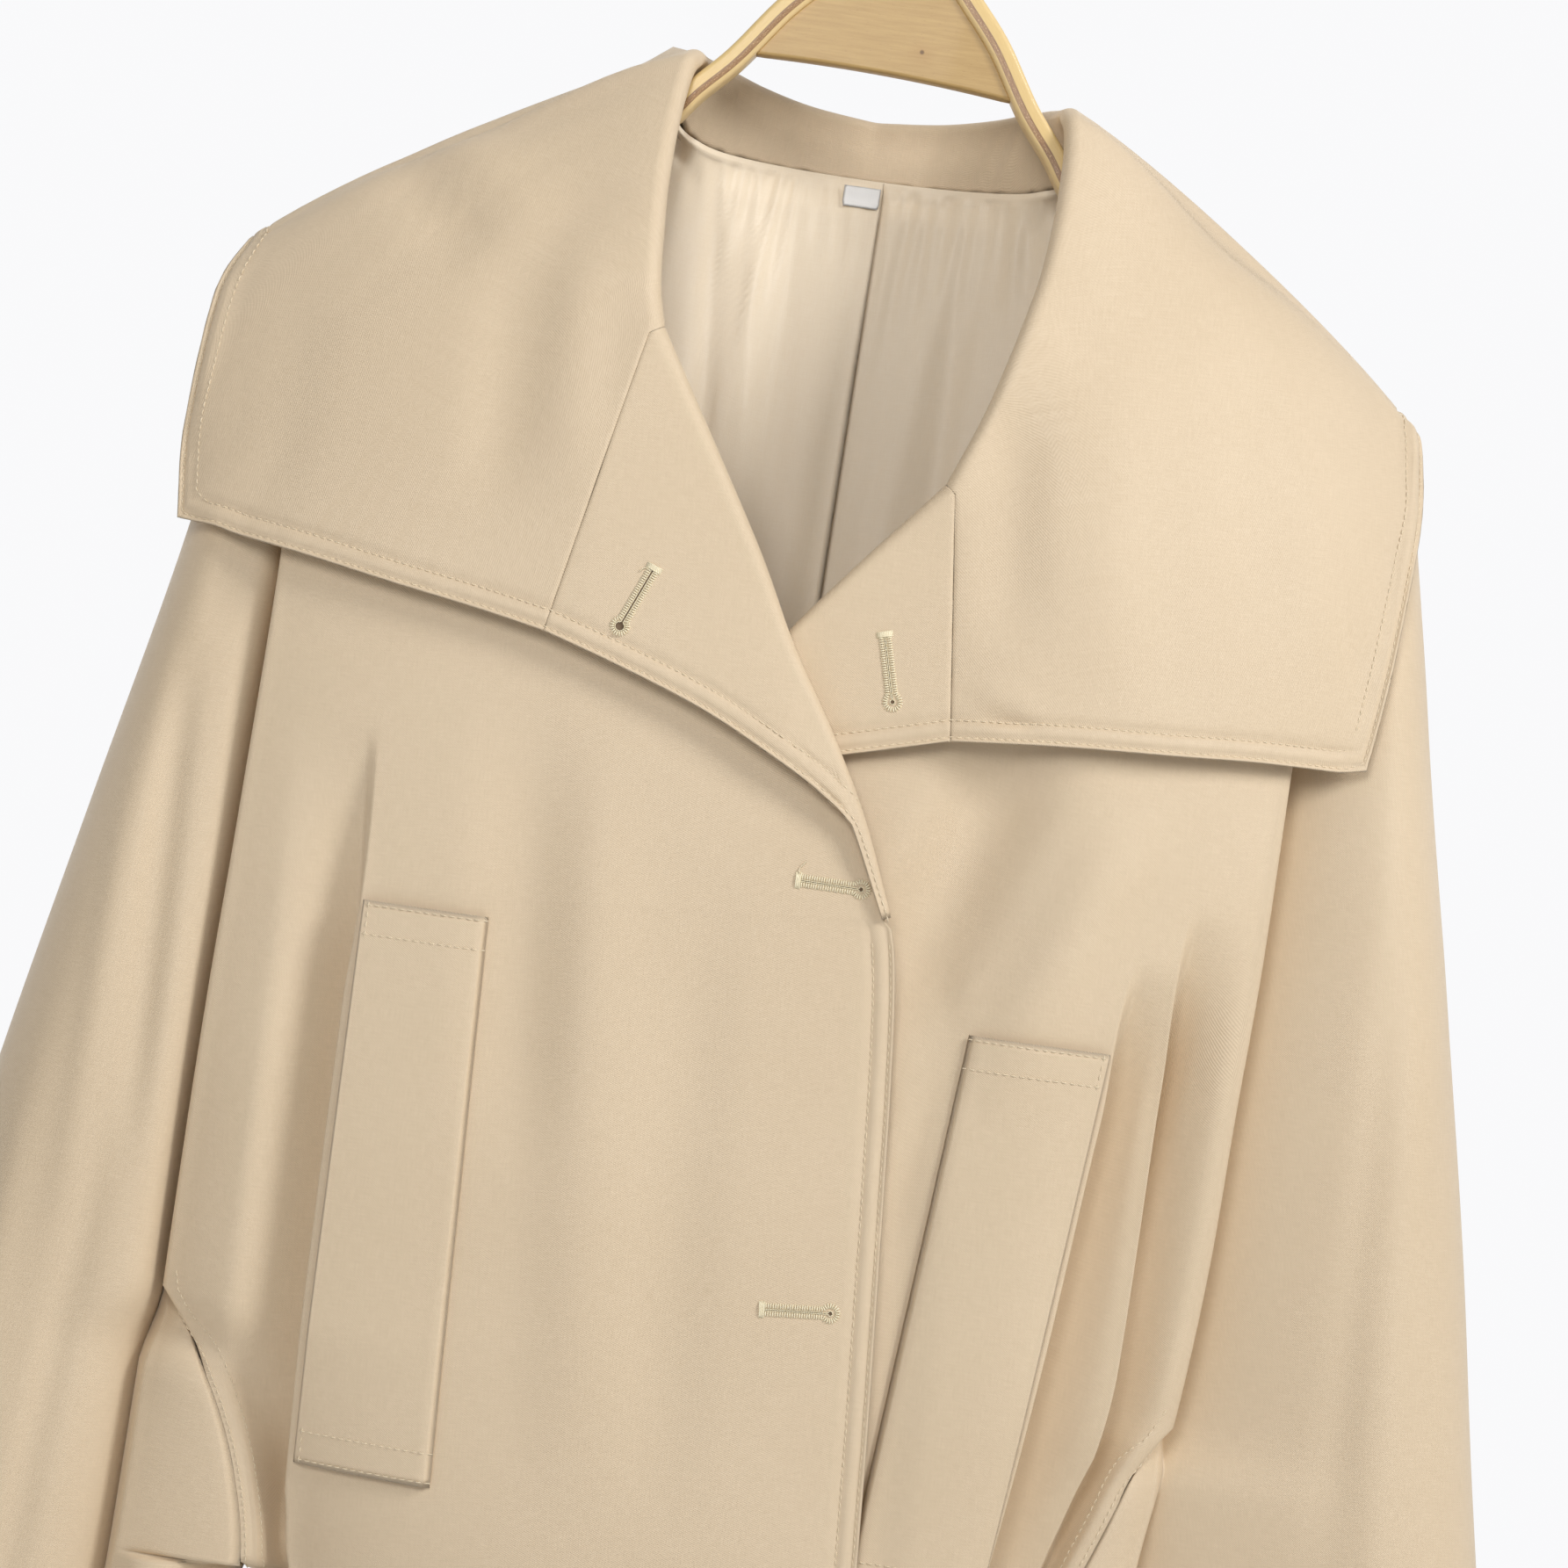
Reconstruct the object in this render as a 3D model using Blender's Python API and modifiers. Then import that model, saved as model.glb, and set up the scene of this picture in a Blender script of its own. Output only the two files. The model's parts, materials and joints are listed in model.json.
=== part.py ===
"""Belted trench coat hanging on a wooden hanger, built as separate cloth walls.

Sizes are in millimetres here and become metres when a mesh is made.  +Z is up, the coat faces -Y and +X is the
wearer's left.  Heights in the tables are measured from a level just under the hanger's centre plate; the finished
part has its origin at the inner top of the hook.

Every cloth piece is a grid of points on its outer side, worked out from the coat's envelope: a front and a back
surface that follow the shoulder line at the top, the chest in the middle and the cinched waist and skirt below.
"""

import bpy
import math
import numpy as np

# ------------------------------------------------------------------ driving sizes (mm)
MM = 0.001
WALL = 1.2                # coat cloth with its facing
COLLAR_WALL = 1.6         # two layers and interlining
BELT_WALL = 2.4           # a sewn tube of cloth, pressed flat
GAP = 0.3                 # between two sewn pieces
SEAM_HALF = 0.6           # half the gap of a seam that runs along the outside of a bend
FLATNESS = 3.0            # exponent of the body's section: 2 is an ellipse
CAP_SHARE = 0.2           # part of the depth reached right at the shoulder line
CAP_ROUND = 3.0           # how soon that happens, in mm below the line
SLOPE_LENGTH = 70.0       # how soon the rest of the depth is reached
NECK_HALF = 76.0          # neck hole, half width
NECK_BACK = 50.0          # neck hole, from the shoulder line to the back
NECK_LEVEL = -25.0        # height of the neck seam in the middle of the back
HEM = -1090.0
CUFF = -680.0
UNDERARM = -541.0
YOKE = -190.0             # level where the rows of the panels become flat
BELT_TOP = -556.0
BELT_BOTTOM = -604.0
UNDERLAP = 6.0            # how far the left front lies behind the right one
UNDERLAP_NECK = 9.0       # the same by the lapels
UNDERLAP_SKIRT = 10.0     # the same in the skirt
SKIRT_WAVES = 4.0         # soft flares in each half of the skirt
SKIRT_FLARE = 8.0         # how deep they are at the hem
TAIL_LENGTH = 330.0       # hanging ends of the belt
BELT_WIDTH = BELT_TOP - BELT_BOTTOM

CREAM = (0.66, 0.55, 0.42)
SATIN = (0.74, 0.66, 0.54)
WHITE = (0.85, 0.85, 0.83)
PLYWOOD = (0.80, 0.62, 0.33)
STEEL = (0.62, 0.62, 0.63)


def table(columns, *rows):
    """A dict of columns; the first column is what the others are read by."""
    data = np.array(rows, dtype=float)
    return dict(zip(columns.split(), data.T))


# Body section by height: half widths on the wearer's right and left, and the depth of front and back.
BODY = table(
    "z right left front back",
    (-60, 245, 243, 56, 51),
    (-200, 236, 231, 58, 54),
    (-300, 223, 214, 59, 56),
    (-400, 212, 196, 60, 57),
    (-447, 206, 183, 60, 57),
    (-466, 186, 170, 60, 57),
    (-485, 172, 157, 60, 57),
    (-505, 161, 145, 60, 56),
    (-530, 152, 136, 59, 55),
    (-541, 148, 134, 58, 55),
    (-556, 140, 130, 58, 55),
    (-580, 131, 127, 57, 54),
    (-604, 133, 130, 58, 55),
    (-640, 149, 147, 64, 61),
    (-700, 168, 167, 72, 69),
    (-800, 190, 190, 81, 78),
    (-950, 214, 214, 88, 86),
    (-1090, 235, 235, 94, 92),
)

# The coat's shoulder line by distance from the middle; its last point on the body is the sleeve's tip.
SHOULDER = table(
    "x right left",
    (76, -7.4, -13.5),
    (81, -12, -18.5),
    (92, -20, -27),
    (105, -27, -34),
    (121, -33.5, -41),
    (146, -43.5, -52.5),
    (176, -60, -74),
    (201, -80, -97),
    (230, -104, -123),
)
TIP = {"right": -77.0, "left": -92.0}

# Edge of the body's fold by the sleeve, and the armhole seam where it comes out of that crease.
CREASE = table(
    "z right left",
    (-77, 198, 197),
    (-92, 193, 195),
    (-110, 190.5, 187),
    (-135, 187.5, 179.5),
    (-160, 185, 175.5),
    (-193, 183, 173),
    (-283, 185, 172),
    (-338, 187, 170),
    (-380, 188, 169),
    (-440, 189, 165),
    (-493, 190, 157.5),
    (-541, 191, 152),
    (-552, 191.5, 153),
    (-600, 194, 172),
    (-680, 203, 205),
)
SEAM = table(
    "z right left",
    (-447, 188, 163),
    (-466, 174, 152),
    (-485, 163, 145),
    (-505, 155, 138),
    (-530, 149, 134.5),
    (-541, 148, 134),
)

# Sleeve section by height: outer edge, fullest point, and depths of the web's edge, the valley and the fullest point.
SLEEVE = table(
    "z outer full edge_y valley_y full_y",
    (-79, 200.6, 199.6, 4, 3, 4),
    (-86, 203, 200.5, 6, 4, 7),
    (-100, 206, 201, 9, 6, 11),
    (-130, 211, 202, 17, 9, 18),
    (-193, 222, 204, 33, 18, 31),
    (-283, 241, 214, 36, 21, 36),
    (-380, 261, 224, 34, 18, 37),
    (-447, 273, 232, 30, 14, 37),
    (-505, 284, 240, 29, 12, 37),
    (-552, 292, 246, 29, 12, 36),
    (-600, 301, 251, 28, 16, 34),
    (-680, 312, 260, 26, 22, 30),
)
SLEEVE_INNER = table(
    "z right left",
    (-541, 149.5, 135.5),
    (-556, 155, 143),
    (-575, 165, 153),
    (-600, 174, 162),
    (-640, 182, 174),
    (-680, 187, 184),
)

# Folds that overlap: the edge's distance from the middle, and how far each one has grown.
FOLD_RIGHT = table(
    "z x size",
    (-235, 141, 0),
    (-300, 138, 1),
    (-400, 136.5, 1),
    (-525, 134, 1),
    (-551, 124, 0.8),
    (-580, 114, 0.5),
    (-640, 128, 0.3),
    (-760, 150, 0),
    (-1090, 195, 0),
)
FOLD_LEFT_INNER = table(
    "z x size",
    (-290, 128, 0),
    (-345, 121, 1),
    (-430, 113, 1),
    (-525, 101, 1),
    (-551, 95, 0.8),
    (-580, 90, 0.5),
    (-640, 103, 0.3),
    (-760, 118, 0),
    (-1090, 160, 0),
)
FOLD_LEFT_OUTER = table(
    "z x size",
    (-270, 145, 0),
    (-330, 141, 1),
    (-427, 139.5, 1),
    (-497, 127, 1),
    (-525, 118, 1),
    (-551, 111, 0.8),
    (-580, 106, 0.5),
    (-640, 126, 0.3),
    (-760, 148, 0),
    (-1090, 198, 0),
)
FOLD_HALF = 5.0           # half width of the turned edge
FOLD_OVERLAP = 3.2
FOLD_DEPTH = 9.0

# Lapels, from the neck to where the fold ends: fold line, lapel edge, and the fold's outer radius.
LAPEL_RIGHT = table(
    "step crest_x crest_z edge_x edge_z radius lift",
    (0, -62, -95, -88, -204, 5.8, 9),
    (1, -45, -123, -62, -212, 5.4, 9),
    (2, -17, -170, -31, -223, 4.8, 9),
    (3, -3, -197, -8, -234, 4.4, 9),
    (4, 15, -226, 12, -245, 4.0, 8),
    (5, 29, -252, 26, -256, 3.4, 6),
)
LAPEL_LEFT = table(
    "step crest_x crest_z edge_x edge_z radius lift",
    (0, 40.6, -135, 54, -222, 4.6, 9),
    (1, 17, -163, 32, -228, 4.0, 7),
    (2, -6, -192, 6, -235, 3.4, 5.5),
    (3, -30, -225, -24, -243, 3.0, 4.8),
)

# Front edges below the lapels.
FRONT_EDGE_RIGHT = table(
    "z x",
    (-284, 42),
    (-297, 45.5),
    (-320, 48.5),
    (-376, 53),
    (-418, 56),
    (-469, 59.5),
    (-556, 64),
    (-1090, 72),
)
FRONT_EDGE_LEFT = table("z x", (-262, -40), (-300, -45), (-604, -45), (-1090, -40))

# The fronts' neck edge, from the lapel up to the shoulder line.
NECK_SEAM = table(
    "step right_x right_z left_x left_z",
    (0, 68.5, -98, 45.5, -138),
    (1, 79, -81, 64, -108),
    (2, 81.3, -60, 72.5, -79),
    (3, 80.3, -35, 77.2, -46),
    (4, 76, -7.4, 76, -13.5),
)

# Collar, from the lapel seam round the shoulder to the middle of the back.  plan is the direction in which it falls,
# seen from above, and turn how far it rolls over; reach is how long it keeps its direction past the roll.
COLLAR_COLUMNS = "step plan turn radius crest_x crest_y crest_z edge_x edge_y edge_z reach"
COLLAR_RIGHT = table(
    COLLAR_COLUMNS,
    (0, -90, 180, 5.8, 62, -46.4, -95, 88, -62, -204, 20),
    (1, -84, 178, 5.6, 65.5, -44, -80, 112, -60, -199.5, 25),
    (2, -75, 172, 5.2, 67.5, -38.5, -60, 140, -56, -195, 30),
    (3, -62, 162, 5.0, 69, -31, -40, 180, -46, -188, 36),
    (4, -46, 148, 4.6, 69.6, -22, -21, 221, -29, -182, 42),
    (5, -30, 134, 4.4, 69.3, -15, -6, 224.5, -20, -150, 42),
    (6, -14, 122, 4.2, 68, -8, 5.5, 222, -10, -106, 40),
    (7, 0, 114, 4.0, 66.6, 1.5, 8.5, 213, 0, -79, 38),
    (8, 13, 118, 4.0, 64.5, 12, 8.4, 219, 12, -102, 38),
    (9, 26, 126, 4.0, 61, 20, 8.2, 222, 28, -146, 38),
    (10, 40, 136, 4.0, 55, 29, 7.4, 216, 46, -197, 36),
    (11, 56, 148, 4.0, 42, 40, 4.5, 150, 62, -200, 32),
    (12, 74, 158, 4.0, 23, 49, 1.4, 75, 70, -202, 28),
    (13, 90, 162, 4.0, 0, 54, -0.4, 0, 73, -203, 28),
)
COLLAR_LEFT = table(
    COLLAR_COLUMNS,
    (0, -90, 180, 4.6, 40.6, -50, -135, 54, -62, -222, 20),
    (1, -84, 178, 4.6, 50, -47.5, -110, 90, -60, -219, 25),
    (2, -75, 172, 4.6, 58.5, -43.5, -80, 125, -57, -217, 30),
    (3, -62, 162, 4.6, 64.5, -34, -53, 165, -48, -215, 36),
    (4, -46, 148, 4.6, 67.5, -23.5, -25, 198, -36, -214.5, 42),
    (5, -30, 134, 4.4, 68.5, -15.5, -8.5, 203.5, -26, -182, 42),
    (6, -14, 122, 4.2, 68, -8, 3, 207.8, -14, -128, 40),
    (7, 0, 114, 4.0, 67.2, 1.5, 6.5, 202, 0, -90, 38),
    (8, 13, 118, 4.0, 65, 12, 7, 209, 12, -114, 38),
    (9, 26, 126, 4.0, 61.5, 20, 7.4, 212, 28, -155, 38),
    (10, 40, 136, 4.0, 55, 29, 6.8, 206, 46, -200, 36),
    (11, 56, 148, 4.0, 42, 40, 4.2, 145, 62, -201, 32),
    (12, 74, 158, 4.0, 23, 49, 1.4, 74, 70, -202, 28),
    (13, 90, 162, 4.0, 0, 54, -0.4, 0, 73, -203, 28),
)

# Welts of the slanted pockets: their free and their sewn edge, top and bottom.
WELT_RIGHT = table("z free_x sewn_x", (-303, 136.5, 93), (-498, 134.5, 86))
WELT_LEFT = table("z free_x sewn_x", (-320, 123, 74), (-515, 105, 58))

# The hanger's upper outline from its middle to the end of the arm, and how tall the arm is there.
HANGER = table(
    "x top deep",
    (0, 56, 0),
    (20, 49.5, 0),
    (31, 39, 0),
    (41, 28, 0),
    (56.3, 6, 12),
    (68.3, -7.8, 12),
    (74, -16, 11.5),
    (80, -22, 11),
    (92, -31, 10),
    (105, -38, 9.5),
    (121, -45, 9.5),
    (146, -56, 9.5),
    (176, -75.5, 9.5),
    (187, -86, 7),
)
HANGER_THICK = 12.0
HANGER_TILT = math.radians(2.5)   # the wearer's right arm is up
PLATE_HALF = 44.0
PLATE_BOTTOM = 7.2
HOOK_TOP = 112.0          # the hook's inner top before the hanger is tilted
HOOK_RADIUS = 19.0        # to the wire's middle
HOOK_WIRE = 4.0


# ------------------------------------------------------------------ curves and the coat's envelope
def read(source, column, at):
    """The column's value at each place, on a smooth curve that never overshoots its rows."""
    names = list(source)
    xs, ys = source[names[0]], source[column]
    if xs[0] > xs[-1]:
        xs, ys = xs[::-1], ys[::-1]
    steps = np.diff(xs)
    slopes = np.diff(ys) / steps
    ends = np.concatenate(([slopes[0]], slopes, [slopes[-1]]))
    left, right = ends[:-1], ends[1:]
    same = left * right > 0
    total = np.where(same, left + right, 1.0)
    tangents = np.where(same, 2.0 * left * right / total, 0.0)
    tangents[0], tangents[-1] = slopes[0], slopes[-1]
    at = np.clip(np.asarray(at, dtype=float), xs[0], xs[-1])
    k = np.clip(np.searchsorted(xs, at) - 1, 0, len(steps) - 1)
    t = (at - xs[k]) / steps[k]
    return (
        (1 + 2 * t) * (1 - t) ** 2 * ys[k]
        + t * (1 - t) ** 2 * steps[k] * tangents[k]
        + t**2 * (3 - 2 * t) * ys[k + 1]
        + t**2 * (t - 1) * steps[k] * tangents[k + 1]
    )


def smooth(t):
    t = np.clip(t, 0.0, 1.0)
    return t * t * (3.0 - 2.0 * t)


def sides(source, x, at):
    """Reads the right or left column, by the side of x."""
    return np.where(np.asarray(x) < 0, read(source, "right", at), read(source, "left", at))


def rise(height):
    """Share of the depth reached at a height below the shoulder line."""
    height = np.maximum(height, 0.0)
    near = np.sqrt(height / (height + CAP_ROUND))
    return (1 - CAP_SHARE) * (1 - np.exp(-height / SLOPE_LENGTH)) + CAP_SHARE * near


def bow(x, z):
    """1 in the middle of the body and 0 at its side, at that height."""
    across = np.clip(np.abs(x) / sides(BODY, x, z), 0.0, 1.0)
    return np.sqrt(1.0 - across**FLATNESS)


def shoulder(x):
    return sides(SHOULDER, x, np.abs(x))


def flare(x, z):
    """Soft waves of the skirt, outwards."""
    size = SKIRT_FLARE * smooth((BELT_BOTTOM - 12 - z) / 420.0)
    across = np.asarray(x) / sides(BODY, x, z)
    return size * np.cos(math.pi * SKIRT_WAVES * across + 0.6) * bow(x, z) ** 2


def front_y(x, z):
    return -read(BODY, "front", z) * bow(x, z) * rise(shoulder(x) - z) - flare(x, z)


def neck_plan(x):
    """Distance of the back neck seam behind the shoulder line."""
    inside = np.clip(1.0 - np.abs(x / NECK_HALF) ** 2.0, 0.0, 1.0)
    return NECK_BACK * np.sqrt(inside)


def neck_height(x):
    """Height of the back neck seam, which comes up to the shoulder line at its sides."""
    inside = np.clip(1.0 - np.abs(x / NECK_HALF) ** 2.0, 0.0, 1.0)
    return NECK_LEVEL + (sides(SHOULDER, x, NECK_HALF) - NECK_LEVEL) * (1.0 - inside) ** 6


def back_y(x, z):
    """The back starts at the neck seam and spreads from its curve into the plain back below."""
    below = np.maximum(np.where(np.abs(x) < NECK_HALF, neck_height(x), shoulder(x)) - z, 0.0)
    inside = np.clip(1.0 - np.abs(x / (NECK_HALF + 1.2 * below)) ** 2.0, 0.0, 1.0)
    start = NECK_BACK * inside ** (0.5 + below / 40.0)
    full = read(BODY, "back", z) * bow(x, z)
    return start + (full - start) * rise(below) + flare(x + 20.0, z)


def underlap(x, z):
    """How far the left front lies behind the envelope, where the right one covers it."""
    deep = UNDERLAP + (UNDERLAP_NECK - UNDERLAP) * smooth((z + 330.0) / 60.0)
    deep = deep + (UNDERLAP_SKIRT - UNDERLAP) * smooth((-640.0 - z) / 90.0)
    return deep * smooth((110.0 - x) / 50.0) * smooth((-100.0 - z) / 60.0)


def left_front_y(x, z):
    return front_y(x, z) + underlap(x, z)


def tilted(x, z):
    """Turns a point of the hanger a little about the middle of its plate."""
    up, cos, sin = z - PLATE_BOTTOM, math.cos(HANGER_TILT), math.sin(HANGER_TILT)
    return x * cos + up * sin, PLATE_BOTTOM + up * cos - x * sin


ORIGIN = (tilted(0.0, HOOK_TOP)[0], 0.0, tilted(0.0, HOOK_TOP)[1])


# ------------------------------------------------------------------ mesh helpers
def material(name, colour, roughness, metallic=0.0):
    made = bpy.data.materials.new(name)
    made.use_nodes = True
    shader = made.node_tree.nodes["Principled BSDF"]
    shader.inputs["Base Color"].default_value = (*colour, 1.0)
    shader.inputs["Roughness"].default_value = roughness
    shader.inputs["Metallic"].default_value = metallic
    return made


def place(name, mesh, collection, look):
    made = bpy.data.objects.new(name, mesh)
    mesh.materials.append(look)
    collection.objects.link(made)
    return made


def to_metres(points):
    return (np.asarray(points, dtype=float) - ORIGIN) * MM


def grid_mesh(name, points, outward, ring=False):
    """Quads through points[row][column], turned so that they face outward at the grid's middle."""
    points = to_metres(points)
    rows, columns = points.shape[:2]
    i, j = rows // 2, columns // 2
    down = points[i, j] - points[i - 1, j]
    across = points[i, j] - points[i, j - 1]
    facing = float(np.dot(np.cross(across, down), outward)) > 0
    faces = []
    spans = columns if ring else columns - 1
    for r in range(rows - 1):
        for c in range(spans):
            d = (c + 1) % columns
            quad = (r * columns + c, r * columns + d, (r + 1) * columns + d, (r + 1) * columns + c)
            faces.append(quad if facing else quad[::-1])
    mesh = bpy.data.meshes.new(name)
    mesh.from_pydata(points.reshape(-1, 3).tolist(), [], faces)
    mesh.shade_smooth()
    return mesh


def cloth(name, points, outward, collection, look, wall=WALL, ring=False):
    """A wall of cloth: the points are its outer side and the thickness goes the other way."""
    made = place(name, grid_mesh(name, points, outward, ring), collection, look)
    thick = made.modifiers.new("wall", "SOLIDIFY")
    thick.thickness = wall * MM
    thick.offset = -1.0
    thick.use_rim = True
    return made


def bezier(a, b, c, d, t):
    t = np.asarray(t)[:, None]
    return (1 - t) ** 3 * a + 3 * (1 - t) ** 2 * t * b + 3 * (1 - t) * t**2 * c + t**3 * d


# ------------------------------------------------------------------ lapels
ROLL = 4                  # pieces of the roll, and of the cloth that falls from it
FALL = 6
FOLD_GAP = 1.1            # from the fold's start to the edge of the front it is sewn to


def lapel_line(source, step, offset):
    """One line across a lapel: round the fold, then out to the edge; and where the front's edge lies."""
    value = {name: float(read(source, name, step)) for name in source}
    crest = np.array([value["crest_x"], value["crest_z"]])
    edge = np.array([value["edge_x"], value["edge_z"]])
    ends = [np.array([read(source, f"crest_{axis}", step + d) for axis in "xz"]) for d in (0.2, -0.2)]
    along = (ends[0] - ends[1]) / np.linalg.norm(ends[0] - ends[1])
    tip = np.array([-along[1], along[0]])
    if np.dot(tip, crest - edge) < 0:
        tip = -tip
    radius = value["radius"]
    foot = crest - tip * radius
    inner_y = float(front_y(foot[0], foot[1])) + offset(foot[0], foot[1]) + WALL
    points = []
    for angle in np.linspace(0.0, math.pi, ROLL + 1):
        x, z = foot + tip * radius * math.sin(angle)
        points.append((x, inner_y - radius * (1.0 - math.cos(angle)), z))
    for share in np.linspace(0.0, 1.0, FALL + 1)[1:]:
        x, z = foot + (edge - foot) * share
        lift = (2 * radius - WALL) * (1 - share) + value["lift"] * share
        points.append((x, float(front_y(x, z)) + offset(x, z) - lift, z))
    return np.array(points), foot - tip * FOLD_GAP


def no_offset(x, z):
    return 0.0


def lapel(name, source, offset, last, collection, look):
    lines = [lapel_line(source, s, offset)[0] for s in np.linspace(0.0, last, round(last * 2) + 1)]
    return cloth(name, lines, (0, -1, 0), collection, look, wall=COLLAR_WALL)


# ------------------------------------------------------------------ fronts and back
UPPER = (0.0, 0.003, 0.025, 0.08, 0.18, 0.36, 0.6, 0.8, 1.0)    # shares of the way from the tip to the yoke
CHEST = (-215, -240, -262, -285)
LOWER = (-305, -365, -425, -446, -459, -474, -503, -541)
WAIST = (-556, -580, -604)
SKIRT = (-640, -720, -900, HEM)
NECK_STEPS = (4.0, 3.99, 3.9, 3.7, 3.3, 2.4, 1.0)
LIP_POINTS = 3
LIP = 4.0                 # width of the strip that turns into the crease
LIP_BACK = 1.2            # its end lies this far back under the panel
LIP_FROM = 3.0            # where the surface is read that the depth is measured from
LIP_DEEP = 5.5            # how deep its end lies


def levels(side):
    """Heights of a panel's rows at its outer edge, from the sleeve's tip to the hem."""
    upper = [TIP[side] + (YOKE - TIP[side]) * share for share in UPPER]
    return (*upper, *CHEST, *LOWER, *WAIST, *SKIRT)


def fold_shift(across, z, fold, last):
    """Sideways and inward shift of a point by one overlapping fold whose edge faces the side."""
    edge = read(fold, "x", z)
    room = np.maximum(last - edge - FOLD_HALF, 1.0)
    size = read(fold, "size", z) * np.minimum(1.0, room / 12.0)
    t = (across - edge) / FOLD_HALF
    aside = np.where(np.abs(t) < 1, -FOLD_OVERLAP * np.sin(math.pi * t), 0.0) * size
    recover = 1.0 - smooth((across - edge - FOLD_HALF) / np.minimum(room, 26.0))
    return aside, FOLD_DEPTH * size * smooth((t + 1) / 2) * recover


def armhole(z, side):
    """Distance of a panel's outer edge from the middle: the crease's edge, the seam, then the side."""
    if z > -447:
        return float(read(CREASE, side, z))
    if z > UNDERARM:
        return float(read(SEAM, side, z))
    return float(read(BODY, side, z))


def tucked(z):
    """1 where the armhole seam lies inside the crease, 0 where it shows on the panel."""
    return float(smooth((z + 475.0) / 30.0) * smooth((-100.0 - z) / 70.0))


def apart(y, face):
    """Keeps a seam's edge on its own side of the shoulder line's plane."""
    return face * np.maximum(face * np.asarray(y), SEAM_HALF)


def lip(outer, z_start, z_end, sign, face, surface):
    """Last points of a panel's row: the cloth turns into the crease by the sleeve."""
    share = tucked(z_end)
    x = outer * sign
    start = np.array([x - sign * LIP, apart(surface(x - sign * LIP, z_start), face)])
    flat_end = np.array([x - sign * GAP / 2, apart(surface(x - sign * GAP / 2, z_end), face)])
    deep_end = np.array([x - sign * LIP_BACK, surface(x - sign * LIP_FROM, z_end) - face * LIP_DEEP])
    flat_end[1] += face * 0.5 * float(smooth((z_end + 100.0) / 15.0))
    end = flat_end + (deep_end - flat_end) * share
    corner = start + (flat_end - start) * 0.7 + np.array([sign * 2.4, face * 0.4]) * share
    shares = np.linspace(0.0, 1.0, LIP_POINTS + 1)
    line = bezier(start, corner, corner + (end - corner) * 0.4, end, shares)
    return [(x, y, z_start + (z_end - z_start) * s) for (x, y), s in zip(line, shares)][1:]


def crown(across, z_outer, side):
    """How far a row near the shoulder lies above the straight line between its ends."""
    tip_x, neck_z = float(read(CREASE, side, TIP[side])), float(SHOULDER[side][0])
    chord = neck_z + (TIP[side] - neck_z) * (across - NECK_HALF) / (tip_x - NECK_HALF)
    above = np.where(across > NECK_HALF, read(SHOULDER, side, across) - chord, 0.0)
    return above * smooth((z_outer - YOKE) / 100.0)


def turned_places(start, stop, half, count):
    """Places between two distances from the middle, closer together where the section turns to the side."""
    first, last = (math.asin(min(1.0, v / half) ** (FLATNESS / 2)) for v in (start, stop))
    return half * np.sin(np.linspace(first, last, count + 1)) ** (2 / FLATNESS)


def panel_row(inner, z_outer, sign, face, surface, folds, counts):
    """One row of a panel from its inner point out to the armhole or side seam.

    sign is -1 on the wearer's right, face is -1 on the front; counts holds the columns of each stretch.
    """
    side = "right" if sign < 0 else "left"
    outer = armhole(z_outer, side)
    open_side = z_outer > UNDERARM + 1
    half = float(read(BODY, side, z_outer))
    breaks = [inner[0] * sign]
    for fold in folds:
        edge = float(read(fold, "x", z_outer))
        breaks += [edge - FOLD_HALF, edge + FOLD_HALF]
    if not folds:
        breaks.append(outer * 0.62)
    across = [np.linspace(a, b, n, endpoint=False) for a, b, n in zip(breaks, breaks[1:], counts)]
    last = outer - LIP if open_side else outer
    extra = 0 if open_side else LIP_POINTS
    across.append(turned_places(breaks[-1], last, half, counts[-1] + extra))
    across = np.concatenate(across)
    z = inner[1] + (z_outer - inner[1]) * (across - across[0]) / (outer - across[0])
    z = z + crown(across, z_outer, side)
    y = surface(across * sign, z)
    for fold in folds:
        aside, inward = fold_shift(across, z, fold, last)
        across = across + aside
        y = y - face * inward * np.minimum(1.0, np.abs(y) / 20.0)
    points = list(zip(across * sign, apart(y, face), z))
    if open_side:
        points += lip(outer, z[-1], z_outer, sign, face, surface)
    return points


def neck_points(side):
    """The panel's corners along the neck seam, from the shoulder line down."""
    return [tuple(float(read(NECK_SEAM, f"{side}_{axis}", s)) for axis in "xz") for s in NECK_STEPS]


def front_right(collection, look):
    inner = [(-x, z) for x, z in neck_points("right")]
    inner += [tuple(lapel_line(LAPEL_RIGHT, s, no_offset)[1]) for s in np.linspace(0.0, 4.7, 6)]
    inner.append((43.5, -288.0))
    inner += [(float(read(FRONT_EDGE_RIGHT, "x", z)), z) for z in (*LOWER[1:], *WAIST, *SKIRT)]
    rows = [panel_row(i, z, -1, -1, front_y, [FOLD_RIGHT], (8, 5, 3)) for i, z in zip(inner, levels("right"))]
    return cloth("front_right", rows, (0, -1, 0), collection, look)


def front_left(collection, look):
    inner = neck_points("left")
    inner += [tuple(lapel_line(LAPEL_LEFT, s, underlap)[1]) for s in np.linspace(0.0, 3.0, 4)]
    inner += [(float(read(FRONT_EDGE_LEFT, "x", z)), z) for z in (-262, -287, *LOWER, *WAIST, *SKIRT)]
    folds = [FOLD_LEFT_INNER, FOLD_LEFT_OUTER]
    counts = (7, 4, 2, 4, 2)
    rows = [panel_row(i, z, 1, -1, left_front_y, folds, counts) for i, z in zip(inner, levels("left"))]
    return cloth("front_left", rows, (0, -1, 0), collection, look)


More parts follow.
